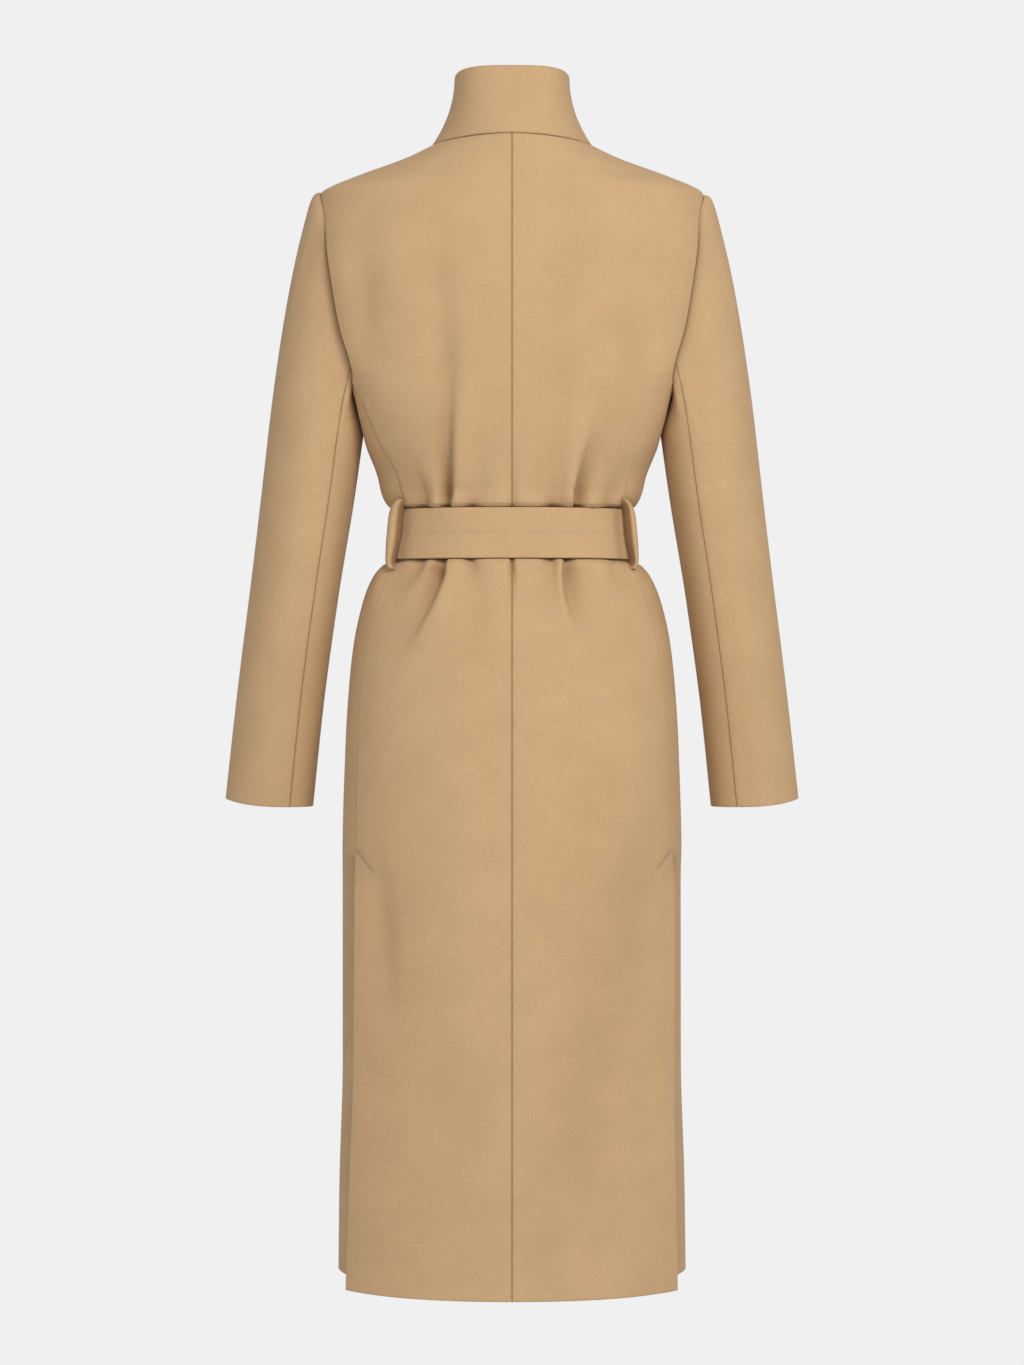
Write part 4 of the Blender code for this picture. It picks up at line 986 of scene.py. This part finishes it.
def sleeve_ring(side, turn, level):
    """Point on a sleeve section below the cap."""
    sizes = {name: smooth(level, SLEEVE["level"], SLEEVE[name]) for name in SLEEVE_COLUMNS[1:]}
    x = SIDES[side] * (sizes["centre_x"] + sizes["half_width"] * np.cos(turn))
    squareness = np.where(np.cos(turn) > 0, SLEEVE_OUTER_SQUARENESS, SLEEVE_INNER_SQUARENESS)
    across = np.abs(np.cos(turn)) ** squareness
    deep = np.sign(np.sin(turn)) * np.maximum(1 - across, 0.0) ** (1 / squareness)
    y = sizes["centre_y"] + sizes["half_depth"] * deep
    drop = (SLEEVE_CAP_END - level) / (SLEEVE_CAP_END - CUFF)
    rise = 2 * ((1 + np.cos(turn)) / 2) ** SLEEVE_CUFF_CURVE - 1
    return np.stack([x, y, level + SLEEVE_CUFF_TILT * drop * rise], axis=-1)


def sleeve_cloth(side, share, down):
    """Outer surface of a sleeve: down 0 to 1 is the cap, 1 to 2 the arm."""
    share, down = np.broadcast_arrays(np.asarray(share, float), np.asarray(down, float))
    place = np.mod(share, ARMHOLE_ROUND)
    turns = {name: smooth(place, TURN["share"], TURN[name]) for name in SLEEVE_TURN_COLUMNS[1:]}
    turn = np.radians(turns["angle"])
    low = turns["fall"][..., None]
    point, normal, into = armhole_point(side, share)
    aside = np.array([SIDES[side], 0.0, 0.0]) * turns["aside"][..., None]
    fall = np.array([0.0, 0.0, -1.0]) * low
    leave = unit(into * (1 - low) + aside + fall)
    from_tip = from_shoulder_tip(share)
    tuck = SLEEVE_TUCK * (1 - bump(from_tip, SLEEVE_HEAD_SHARE))[..., None]
    start = point - (leave + normal) * tuck
    cap_end = np.full(turn.shape, SLEEVE_CAP_END)
    ring = sleeve_ring(side, turn, cap_end)
    ring_way = unit(sleeve_ring(side, turn, cap_end - SLEEVE_WAY_LENGTH) - ring)
    reach = leave * turns["reach"][..., None]
    draw = ring_way * turns["draw"][..., None]
    u = np.clip(down, 0, 1)[..., None]
    cap = (2 * u ** 3 - 3 * u ** 2 + 1) * start + (u ** 3 - 2 * u ** 2 + u) * reach
    cap = cap + (3 * u ** 2 - 2 * u ** 3) * ring + (u ** 3 - u ** 2) * draw
    head = bump(from_tip, SLEEVE_HEAD_SHARE)[..., None] * bump(u - SLEEVE_HEAD_PLACE, SLEEVE_HEAD_LENGTH)
    swell = SIDES[side] * SLEEVE_HEAD_SWELL * ramp(u, 0, SLEEVE_HEAD_PLACE)
    lift = SLEEVE_HEAD_LIFT * ramp(u, -SLEEVE_HEAD_PLACE, SLEEVE_HEAD_PLACE)
    cap = cap + head * np.concatenate([swell, np.zeros_like(swell), lift], axis=-1)
    arm = sleeve_ring(side, turn, SLEEVE_CAP_END + (CUFF - SLEEVE_CAP_END) * np.clip(down - 1, 0, 1))
    return np.where((down <= 1)[..., None], cap, arm)


def grid_outward(points):
    """Unit normals of a grid from its own rows and columns."""
    along = np.gradient(points, axis=0)
    across = np.gradient(points, axis=1)
    return unit(np.cross(along, across))


def armhole_shadow(side, point):
    """How much painted shadow darkens a sleeve's cloth beside the back panel's armhole edge."""
    x, y, z = np.moveaxis(point, -1, 0)
    level = np.clip(z, SIDE_SEAM_TOP, SHOULDER_TIP)
    edge = body_cloth(SIDES[side] * armhole_back_angle(level), level)[0][..., 0]
    beside = np.maximum(SIDES[side] * (x - edge), 0.0)
    shadow = ARMHOLE_SHADOW_LINE * np.exp(-beside / ARMHOLE_SHADOW_LINE_WIDTH)
    shadow = shadow + ARMHOLE_SHADE * np.exp(-beside / ARMHOLE_SHADE_WIDTH)
    return shadow * ramp(y, 0.0, ARMHOLE_SHADE_FADE) * ramp(z - SIDE_SEAM_TOP, -ARMHOLE_SHADE_FADE, 0.0)


def sleeve_panel(side, half):
    """One sleeve panel between its two seams, from the armhole to the cuff."""
    back_seam = SLEEVE_BACK_SEAMS[side]
    first, last = back_seam, SLEEVE_FRONT_SEAM
    if half == "upper":
        first, last = SLEEVE_FRONT_SEAM - ARMHOLE_ROUND, back_seam
    count = SLEEVE_COLUMN_COUNTS[half]
    even = np.linspace(first, last, count)[None, :]
    cap_length = path_length(sleeve_cloth(side, even, np.linspace(0, 1, count)[:, None]), 0)[-1]
    cap = across_shares(cap_length, SLEEVE_CAP_ROWS).T[:-1]
    arm = across_shares([SLEEVE_CAP_END - CUFF], SLEEVE_ARM_ROWS).T + np.ones(count)
    down = np.concatenate([cap, arm])
    length = path_length(sleeve_cloth(side, even, down), 1)[:, -1]
    gap = (SEAM_GAP / 2 / length)[:, None]
    share = first + (last - first) * (gap + (1 - 2 * gap) * across_shares(length, count))
    outer = sleeve_cloth(side, share, down)
    out = SIDES[side] * grid_outward(outer)
    edges = {"top": 1.0, "bottom": 0.0, "first": 1.0, "last": 1.0}
    outer, inner, shade = finish_edges(outer, out, CLOTH_WALL, edges)
    shadow = armhole_shadow(side, outer) * ramp(np.abs(from_shoulder_tip(share)), 0.0, SLEEVE_HEAD_SHARE)
    return cloth_wall(f"sleeve_{half}_{side}_cloth", outer, inner, np.maximum(shade, shadow))


# Collar

def collar_cloth(angle, height):
    """Outer surface of the collar, height 0 at the neck seam and 1 at the top edge."""
    seam = body_form(angle, np.zeros_like(angle))
    depths = (COLLAR_TOP_BACK_DEPTH, COLLAR_TOP_FRONT_DEPTH)
    x, y = oval(angle, COLLAR_TOP_HALF_WIDTH, *depths, COLLAR_SQUARENESS)
    front = np.maximum(-np.cos(angle), 0.0) ** NECK_DROP_POWER
    top_z = COLLAR_TOP_BACK - COLLAR_SIDE_DROP * np.sin(angle) ** COLLAR_SIDE_DROP_POWER
    top_z = top_z + (COLLAR_TOP_FRONT - COLLAR_TOP_BACK) * front
    top = np.stack([x, y, top_z], axis=-1)
    low = (np.maximum(1 - height, 0) ** COLLAR_FLARE_POWER)[..., None]
    plan = top * (1 - low) + seam * low
    z = seam[..., 2] + SEAM_GAP + (top[..., 2] - seam[..., 2]) * height
    return np.concatenate([plan[..., :2], z[..., None]], axis=-1)


def collar_piece():
    """The funnel collar, its left end tucked under the right one."""
    end = math.pi + wrap_angle(np.zeros(1))[0]
    angle = np.linspace(-end, end, COLLAR_COLUMNS)
    length = COLLAR_TOP_BACK
    height = with_edge_rows(np.linspace(length, 0, COLLAR_ROWS)) / length
    angle, height = np.meshgrid(angle, height)
    outer = collar_cloth(angle, height)
    out = -grid_outward(outer)
    neck = np.zeros_like(angle)
    tucked = wrap_step(angle, neck)[..., None]
    free = ramp(height, 0.0, COLLAR_STEP_RISE)[..., None]
    inward = out * (COLLAR_WALL + LAYER_GAP) * free
    inward = inward + outward(body_form, angle, neck) * (CLOTH_WALL + LAYER_GAP) * (1 - free)
    outer = outer - inward * tucked
    edges = {"top": 0.0, "bottom": 1.0, "first": 0.0, "last": 0.0}
    outer, inner, shade = finish_edges(outer, out, COLLAR_WALL, edges)
    return cloth_wall("collar_cloth", outer, inner, shade)


# Belt

def belt_band():
    """The waist band of the belt, pressed flat, with a faint line along its middle."""
    angle = np.linspace(-math.pi, math.pi, BELT_COLUMNS, endpoint=False)
    level = with_edge_rows(np.linspace(BELT_TOP, BELT_BOTTOM, BELT_ROWS))
    angle, level = np.meshgrid(angle, level)
    out = outward(body_form, angle, level)
    line = bump(level - WAIST_LINE, BELT_LINE_WIDTH)
    height = BELT_CLEAR + BELT_WALL - BELT_LINE_DEPTH * line
    upper = (level - WAIST_LINE) / (BELT_TOP - WAIST_LINE)
    wave = np.sin(BELT_WAVE_COUNT * angle + BELT_WAVE_PHASE) * np.sin(BELT_WAVE_TILT * upper)
    height = height + BELT_WAVE * wave
    outer = body_form(angle, level) + out * height[..., None]
    folded = {"top": 0.0, "bottom": 0.0}
    no_lines = {"top": 0.0, "bottom": 0.0}
    outer, inner, shade = finish_edges(outer, out, BELT_WALL, folded, no_lines, BELT_EDGE_SHARE)
    # Painted shadow on the belt beside the loops, and painted shade along the pressed middle line
    past_loop = np.maximum(LOOP_ANGLE - LOOP_SHADOW_START - np.abs(angle), 0.0)
    shadow = LOOP_SHADOW * np.exp(-past_loop / LOOP_SHADOW_REACH) * (np.abs(angle) < LOOP_ANGLE)
    shade = np.maximum(shade, np.maximum(shadow, line * BELT_LINE_SHADE))
    return cloth_wall("belt_cloth", outer, inner, shade, closed=True)


def belt_loop(side):
    """A narrow loop that stands off over the belt at the side seam, twisted a little towards the back."""
    sign = SIDES[side]
    rise = across_shares([BELT_TOP - BELT_BOTTOM + 2 * LOOP_OVERHANG], LOOP_ROWS).T
    ends = np.array([BELT_TOP + LOOP_OVERHANG, BELT_BOTTOM - LOOP_OVERHANG])
    angle = np.full(2, sign * LOOP_ANGLE)
    sewn = body_form(angle, ends)
    facing = unit(outward(body_form, angle, ends) * (1.0, 1.0, 0.0))
    near_end = np.clip(np.minimum(rise, 1 - rise) / LOOP_ARCH, 0.0, 1.0)
    arch = np.sqrt(1 - (1 - near_end) ** 2)
    facing = unit(facing[0] + (facing[1] - facing[0]) * rise)
    forward = sign * np.cross(facing, (0.0, 0.0, 1.0))
    twist = LOOP_TWIST * arch
    across = np.cos(twist) * forward + np.sin(twist) * facing
    out = np.cos(twist) * facing - np.sin(twist) * forward
    stand = SEAM_GAP + LOOP_CLEAR + LOOP_WALL + LOOP_STAND * arch
    middle = sewn[0] + (sewn[1] - sewn[0]) * rise + facing * stand
    width = smooth(rise, LOOP["rise"], LOOP["width"])
    middle = middle - forward * smooth(rise, LOOP["rise"], LOOP["back"])
    place = across_shares(width[:, 0], LOOP_COLUMNS) - MIDDLE_SHARE
    share = LOOP_WIDTH_SHARES[side]
    aside = width * (place * share + (1 - share) / 2)
    outer = middle[:, None, :] + across[:, None, :] * aside[..., None]
    round_off = arch * (LOOP_ROUND + np.where(place < 0, LOOP_CURL, 0.0)) * (2 * place) ** 2
    out = np.repeat(out[:, None, :], LOOP_COLUMNS, 1)
    outer = outer - out * round_off[..., None]
    outer, inner, shade = finish_edges(outer, out, LOOP_WALL, FOLDED_ALL_ROUND)
    # Painted shade on the loop's inner flank
    start = LOOP_SHADE_STARTS[side]
    shade = np.maximum(shade, LOOP_SHADE * arch * ramp(-place, start, start + LOOP_SHADE_REACH))
    return cloth_wall(f"belt_loop_{side}_cloth", outer, inner, shade)


def belt_tail(side):
    """A hanging end of the belt, narrow at the knot and opening downwards."""
    sign = SIDES[side]
    top = WAIST_LINE - KNOT_HEIGHT / 2 - SEAM_GAP
    level = with_edge_rows(np.linspace(top, top - TAIL_LENGTHS[side], TAIL_ROWS))
    share = (top - level) / TAIL_LENGTHS[side]
    open_out = ramp(top - level, 0.0, TAIL_OPENING)
    width = TAIL_NECK_WIDTH + (TAIL_WIDTH - TAIL_NECK_WIDTH) * open_out
    spread = ramp(share, 0.0, TAIL_SPREAD_SHARE)
    offset = TAIL_NECK_OFFSET + (TAIL_END_OFFSET - TAIL_NECK_OFFSET) * spread
    offset = offset + TAIL_OPENING_OFFSET * open_out
    across = across_shares(width, TAIL_COLUMNS) - MIDDLE_SHARE
    place = sign * offset[:, None] + width[:, None] * across
    levels = np.repeat(level[:, None], across.shape[1], 1)
    angle = math.pi - place / smooth(levels, RING["level"], RING["front_depth"])
    out = unit(outward(body_form, angle, levels) * (1.0, 1.0, 0.0))
    lift = TAIL_CLEAR + TAIL_NECK_LIFT * (1 - open_out[:, None]) + BELT_WALL
    pleat = (1 - open_out[:, None]) * np.cos(TAIL_PLEATS * 2 * math.pi * across)
    wave = np.sin(TAIL_WAVE_TURN * share + sign)[:, None] * np.sin(across * math.pi)
    lift = lift + TAIL_WAVE * (pleat + wave)
    lift = lift - BELT_LINE_DEPTH * bump(across * width[:, None], BELT_LINE_WIDTH)
    outer = body_form(angle, levels) + out * lift[..., None]
    outer, inner, shade = finish_edges(outer, out, BELT_WALL, FOLDED_ALL_ROUND)
    return cloth_wall(f"belt_tail_{side}_cloth", outer, inner, shade)


# Knot

def knot_piece():
    """The belt's knot: a pleated lump with one turn of the belt lying slantwise over another."""
    front = body_form(np.array(math.pi), np.array(WAIST_LINE))
    depth = BELT_CLEAR + BELT_WALL + LAYER_GAP + KNOT_DEPTH / 2
    centre = front + np.array([0.0, -depth, 0.0])
    tilt = (np.arange(KNOT_ROWS) + MIDDLE_SHARE) * math.pi / KNOT_ROWS
    turn = np.arange(KNOT_COLUMNS) * 2 * math.pi / KNOT_COLUMNS
    tilt, turn = np.meshgrid(tilt, turn, indexing="ij")
    height = np.cos(tilt)
    swell = np.sin(tilt) ** KNOT_END_POWER * (1 - KNOT_WAIST * (1 - height ** 2))
    wide = np.sign(np.cos(turn)) * np.abs(np.cos(turn)) ** KNOT_SIDE_POWER
    deep = np.sign(np.sin(turn)) * np.abs(np.sin(turn)) ** KNOT_FACE_POWER
    sizes = np.array([KNOT_WIDTH, KNOT_DEPTH, KNOT_HEIGHT]) / 2
    offset = np.stack([swell * wide, swell * deep, height], axis=-1) * sizes
    slant = offset[..., 0] + KNOT_SLANT * offset[..., 2]
    pleats = np.zeros_like(slant)
    for pleat in named_rows(KNOT_PLEAT_COLUMNS, KNOT_PLEATS):
        pleats = pleats - pleat["depth"] * bump(slant - pleat["place"], pleat["half_width"])
    over = offset[..., 2] - KNOT_TURN_SLANT * offset[..., 0]
    step = KNOT_TURN_STEP * (ramp(over, KNOT_TURN_LOW, KNOT_TURN_LOW + KNOT_TURN_EDGE) - 1)
    face = ramp(-offset[..., 1], -KNOT_FACE_FADE, KNOT_FACE_FADE)
    out = unit(offset / sizes ** 2)
    points = centre + offset + out * ((pleats + step) * face)[..., None]
    # Painted shade in the pleats and along the edge of the upper turn
    corner = KNOT_TURN_STEP * bump(over - KNOT_TURN_LOW, KNOT_TURN_EDGE)
    shade = KNOT_SHADE * face * np.clip((corner - pleats) / KNOT_SHADE_DEPTH, 0.0, 1.0)
    return round_lump("belt_knot_cloth", points, shade)


def round_lump(name, points, shade):
    """A closed lump from rings of points, capped at both ends."""
    index = grid_index(points, closed=True)
    caps = [index[0, :-1].tolist(), index[-1, :-1][::-1].tolist()]
    mesh = bpy.data.meshes.new(name)
    mesh.from_pydata(points.reshape(-1, 3).tolist(), [], grid_faces(index).tolist() + caps)
    return finished_piece(mesh, shade.ravel())


# Wool

def node_group(name, inputs, outputs):
    """An empty shader node group with its sockets, and its input and output nodes."""
    group = bpy.data.node_groups.new(name, "ShaderNodeTree")
    for label, value in inputs.items():
        group.interface.new_socket(label, in_out="INPUT", socket_type="NodeSocketFloat").default_value = value
    for label in outputs:
        group.interface.new_socket(label, in_out="OUTPUT", socket_type="NodeSocketFloat")
    return group, group.nodes.new("NodeGroupInput"), group.nodes.new("NodeGroupOutput")


def feed(tree, socket, value):
    """Sets a socket to a number or colour, or links another node's socket to it."""
    if isinstance(value, bpy.types.NodeSocket):
        tree.links.new(value, socket)
    else:
        socket.default_value = value


def noise(tree, vector, scale, detail):
    """A noise texture's value."""
    node = tree.nodes.new("ShaderNodeTexNoise")
    for name, value in (("Vector", vector), ("Scale", scale), ("Detail", detail)):
        feed(tree, node.inputs[name], value)
    return node.outputs["Fac"]


def arithmetic(tree, operation, *values):
    """A math node's value from sockets or numbers."""
    node = tree.nodes.new("ShaderNodeMath")
    node.operation = operation
    for socket, value in zip(node.inputs, values):
        feed(tree, socket, value)
    return node.outputs["Value"]


def nap_group():
    """Brushed wool: flecks and fibres along the cloth, their height, and a wide unevenness of colour."""
    inputs = {"Fleck Scale": FLECK_SCALE, "Fibre Scale": FIBRE_SCALE, "Mottle Scale": MOTTLE_SCALE}
    group, given, result = node_group("brushed_nap", inputs, ("Fleck", "Mottle", "Height"))
    place = group.nodes.new("ShaderNodeTexCoord")
    cloth = group.nodes.new("ShaderNodeUVMap")
    cloth.uv_map = "cloth"
    turned = group.nodes.new("ShaderNodeMapping")
    turned.inputs["Rotation"].default_value = (0.0, 0.0, FIBRE_TURN)
    turned.inputs["Scale"].default_value = (1.0, FIBRE_STRETCH, 1.0)
    group.links.new(cloth.outputs["UV"], turned.inputs["Vector"])
    fleck = noise(group, place.outputs["Object"], given.outputs["Fleck Scale"], FLECK_DETAIL)
    fibre = noise(group, turned.outputs["Vector"], given.outputs["Fibre Scale"], FIBRE_DETAIL)
    mottle = noise(group, place.outputs["Object"], given.outputs["Mottle Scale"], MOTTLE_DETAIL)
    both = arithmetic(group, "MULTIPLY", arithmetic(group, "ADD", fleck, fibre), GRAIN_SHARE)
    group.links.new(both, result.inputs["Fleck"])
    group.links.new(both, result.inputs["Height"])
    group.links.new(mottle, result.inputs["Mottle"])
    return group


def held_in_range(tree, value):
    """A value held between 0 and 1."""
    node = tree.nodes.new("ShaderNodeClamp")
    tree.links.new(value, node.inputs["Value"])
    return node.outputs["Result"]


def pressed_line_group():
    """Painted shade: 1 on a short pressed line of the back as seen from behind, with a soft painted shadow
    falling to 0 above it.
    """
    names = (*VENT_LINE_COLUMNS, *VENT_LINE_SIZES)
    group, given, result = node_group("pressed_line", dict.fromkeys(names, 0.0), ("Line",))
    place = group.nodes.new("ShaderNodeTexCoord")
    split = group.nodes.new("ShaderNodeSeparateXYZ")
    group.links.new(place.outputs["Object"], split.inputs["Vector"])
    cosine = arithmetic(group, "COSINE", given.outputs["lean"])
    sine = arithmetic(group, "SINE", given.outputs["lean"])
    x = arithmetic(group, "SUBTRACT", split.outputs["X"], given.outputs["middle_x"])
    z = arithmetic(group, "SUBTRACT", split.outputs["Z"], given.outputs["middle_z"])
    along = arithmetic(group, "MULTIPLY_ADD", x, cosine, arithmetic(group, "MULTIPLY", z, sine))
    sideways = arithmetic(group, "MULTIPLY", x, sine)
    aside = arithmetic(group, "SUBTRACT", arithmetic(group, "MULTIPLY", z, cosine), sideways)
    near = arithmetic(group, "DIVIDE", arithmetic(group, "ABSOLUTE", aside), given.outputs["width"])
    near = held_in_range(group, arithmetic(group, "SUBTRACT", 1.0, near))
    above = arithmetic(group, "DIVIDE", aside, given.outputs["soft_width"])
    soft = held_in_range(group, arithmetic(group, "SUBTRACT", 1.0, arithmetic(group, "ABSOLUTE", above)))
    soft = arithmetic(group, "MULTIPLY", soft, arithmetic(group, "GREATER_THAN", above, 0.0))
    soft = arithmetic(group, "MULTIPLY", soft, given.outputs["soft_shade"])
    near = arithmetic(group, "MAXIMUM", near, soft)
    past = arithmetic(group, "ABSOLUTE", along)
    inside = arithmetic(group, "SUBTRACT", given.outputs["half_length"], past)
    inside = held_in_range(group, arithmetic(group, "DIVIDE", inside, given.outputs["end"]))
    behind = arithmetic(group, "GREATER_THAN", split.outputs["Y"], 0.0)
    line = arithmetic(group, "MULTIPLY", near, inside)
    group.links.new(arithmetic(group, "MULTIPLY", line, behind), result.inputs["Line"])
    return group


def colour_mix(tree, blend, factor, first, second):
    """A colour mix from sockets or fixed colours."""
    node = tree.nodes.new("ShaderNodeMix")
    node.data_type = "RGBA"
    node.blend_type = blend
    sockets = {socket.identifier: socket for socket in node.inputs}
    for name, value in (("Factor_Float", factor), ("A_Color", first), ("B_Color", second)):
        feed(tree, sockets[name], value)
    return next(socket for socket in node.outputs if socket.identifier == "Result_Color")


def stretched_range(tree, value, low, high):
    """A value between low and high, as 0 to 1."""
    node = tree.nodes.new("ShaderNodeMapRange")
    for name, number in (("Value", value), ("From Min", low), ("From Max", high)):
        feed(tree, node.inputs[name], number)
    return node.outputs["Result"]


def vent_line_shade(tree):
    """How much painted shade the pressed lines at the vent tops lay on the cloth, with painted shadow above
    them.
    """
    group = pressed_line_group()
    total = 0.0
    for sizes in named_rows(VENT_LINE_COLUMNS, VENT_LINES):
        line = tree.nodes.new("ShaderNodeGroup")
        line.node_tree = group
        for name, value in {**sizes, **VENT_LINE_SIZES}.items():
            line.inputs[name].default_value = value
        total = arithmetic(tree, "ADD", total, line.outputs["Line"])
    return arithmetic(tree, "MULTIPLY", total, VENT_LINE_SHADE)


def wool_material(name, nap, pressed=False):
    """Camel wool with dark seam lines and painted shade in its folds, the pressed one also with painted shade
    at the lines of the vent tops.
    """
    material = bpy.data.materials.new(name)
    material.use_nodes = True
    tree = material.node_tree
    shader = tree.nodes["Principled BSDF"]
    grain = tree.nodes.new("ShaderNodeGroup")
    grain.node_tree = nap
    fleck = stretched_range(tree, grain.outputs["Fleck"], FLECK_LOW, FLECK_HIGH)
    mottle = stretched_range(tree, grain.outputs["Mottle"], MOTTLE_LOW, MOTTLE_HIGH)
    colour = colour_mix(tree, "MIX", fleck, CAMEL_DARK, CAMEL_LIGHT)
    colour = colour_mix(tree, "MULTIPLY", mottle, colour, MOTTLE_COLOUR)
    # The seam attribute brings the dark seam lines and the painted shade and shadow
    seam = tree.nodes.new("ShaderNodeAttribute")
    seam.attribute_name = "seam"
    shade = seam.outputs["Fac"]
    if pressed:
        shade = arithmetic(tree, "MAXIMUM", shade, vent_line_shade(tree))
    colour = colour_mix(tree, "MULTIPLY", shade, colour, SEAM_AND_PAINTED_SHADE_COLOUR)
    tree.links.new(colour, shader.inputs["Base Color"])
    height = tree.nodes.new("ShaderNodeBump")
    height.inputs["Strength"].default_value = NAP_STRENGTH
    height.inputs["Distance"].default_value = NAP_HEIGHT
    tree.links.new(grain.outputs["Height"], height.inputs["Height"])
    tree.links.new(height.outputs["Normal"], shader.inputs["Normal"])
    for name, value in WOOL_FINISH.items():
        shader.inputs[name].default_value = value
    return material


# Stage

def make_camera():
    """The photograph's camera, straight behind the coat."""
    data = bpy.data.cameras.new("camera")
    data.sensor_fit = "VERTICAL"
    data.sensor_height = SENSOR_HEIGHT_MM
    data.lens = FOCAL_PIXELS * SENSOR_HEIGHT_MM / PHOTO_HEIGHT_PIXELS
    camera = new_object("camera", data)
    camera.location = (0.0, CAMERA_DISTANCE, CAMERA_LEVEL)
    camera.rotation_euler = (math.pi / 2, 0.0, math.pi)
    bpy.context.scene.camera = camera


def seen_as_plain(tree, lit, output):
    """Shows the backdrop's plain colour to the camera, and lights the coat with the lit shader."""
    path = tree.nodes.new("ShaderNodeLightPath")
    kind = "ShaderNodeEmission" if output.type == "OUTPUT_MATERIAL" else "ShaderNodeBackground"
    plain = tree.nodes.new(kind)
    plain.inputs["Color"].default_value = BACKDROP
    mix = tree.nodes.new("ShaderNodeMixShader")
    tree.links.new(path.outputs["Is Camera Ray"], mix.inputs[0])
    tree.links.new(lit, mix.inputs[1])
    tree.links.new(plain.outputs[0], mix.inputs[2])
    tree.links.new(mix.outputs[0], output.inputs["Surface"])


def make_floor():
    """A plain pale floor below the hem."""
    mesh = bpy.data.meshes.new("floor")
    corners = [(-1, -1), (1, -1), (1, 1), (-1, 1)]
    mesh.from_pydata([(x * FLOOR_HALF, y * FLOOR_HALF, FLOOR_LEVEL) for x, y in corners], [], [(0, 1, 2, 3)])
    floor = new_object("floor", mesh)
    material = bpy.data.materials.new("pale_floor")
    material.use_nodes = True
    tree = material.node_tree
    shader = tree.nodes["Principled BSDF"]
    shader.inputs["Base Color"].default_value = FLOOR_COLOUR
    shader.inputs["Roughness"].default_value = 1.0
    seen_as_plain(tree, shader.outputs["BSDF"], tree.nodes["Material Output"])
    mesh.materials.append(material)


def make_light():
    """Even soft light all round, and wide lamps on both sides of the camera."""
    scene = bpy.context.scene
    world = bpy.data.worlds.new("studio")
    world.use_nodes = True
    scene.world = world
    tree = world.node_tree
    tree.nodes.clear()
    ambient = tree.nodes.new("ShaderNodeBackground")
    ambient.inputs["Color"].default_value = AMBIENT_COLOUR
    ambient.inputs["Strength"].default_value = AMBIENT_STRENGTH
    seen_as_plain(tree, ambient.outputs[0], tree.nodes.new("ShaderNodeOutputWorld"))
    for lamp in named_rows(LAMP_COLUMNS, LAMPS):
        data = bpy.data.lights.new(lamp["name"], "AREA")
        data.shape = "RECTANGLE"
        data.size = lamp["width"]
        data.size_y = lamp["height"]
        data.energy = lamp["watts"]
        data.color = lamp["colour"]
        item = new_object(lamp["name"], data)
        item.location = lamp["place"]
        aim = Vector(LAMP_TARGET) - item.location
        item.rotation_euler = aim.to_track_quat("-Z", "Y").to_euler()
    scene.view_settings.view_transform = "Standard"


# Pieces

def panel_nodes(face, side):
    """The two solids of one panel."""
    return [f"bodice_{face}_{side}", f"skirt_{face}_{side}"]


def declare(piece, material, nodes):
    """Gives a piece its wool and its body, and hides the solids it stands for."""
    piece.data.materials.append(material)
    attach(piece, "root")
    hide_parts(*nodes)


def main():
    """Makes every piece and sets the stage."""
    nap = nap_group()
    coat = wool_material("coat_wool", nap, pressed=True)
    belt = wool_material("belt_wool", nap)
    for side in SIDES:
        declare(back_panel(side), coat, panel_nodes("back", side))
        declare(front_panel(side), coat, panel_nodes("front", side))
        for half in SLEEVE_COLUMN_COUNTS:
            declare(sleeve_panel(side, half), coat, [f"sleeve_{half}_{side}"])
        declare(belt_loop(side), coat, ["belt_loop_" + side])
        declare(belt_tail(side), belt, ["belt_tail_" + side])
    declare(collar_piece(), coat, ["collar"])
    declare(belt_band(), belt, ["belt"])
    declare(knot_piece(), belt, ["belt_knot"])
    make_camera()
    make_light()
    make_floor()


main()
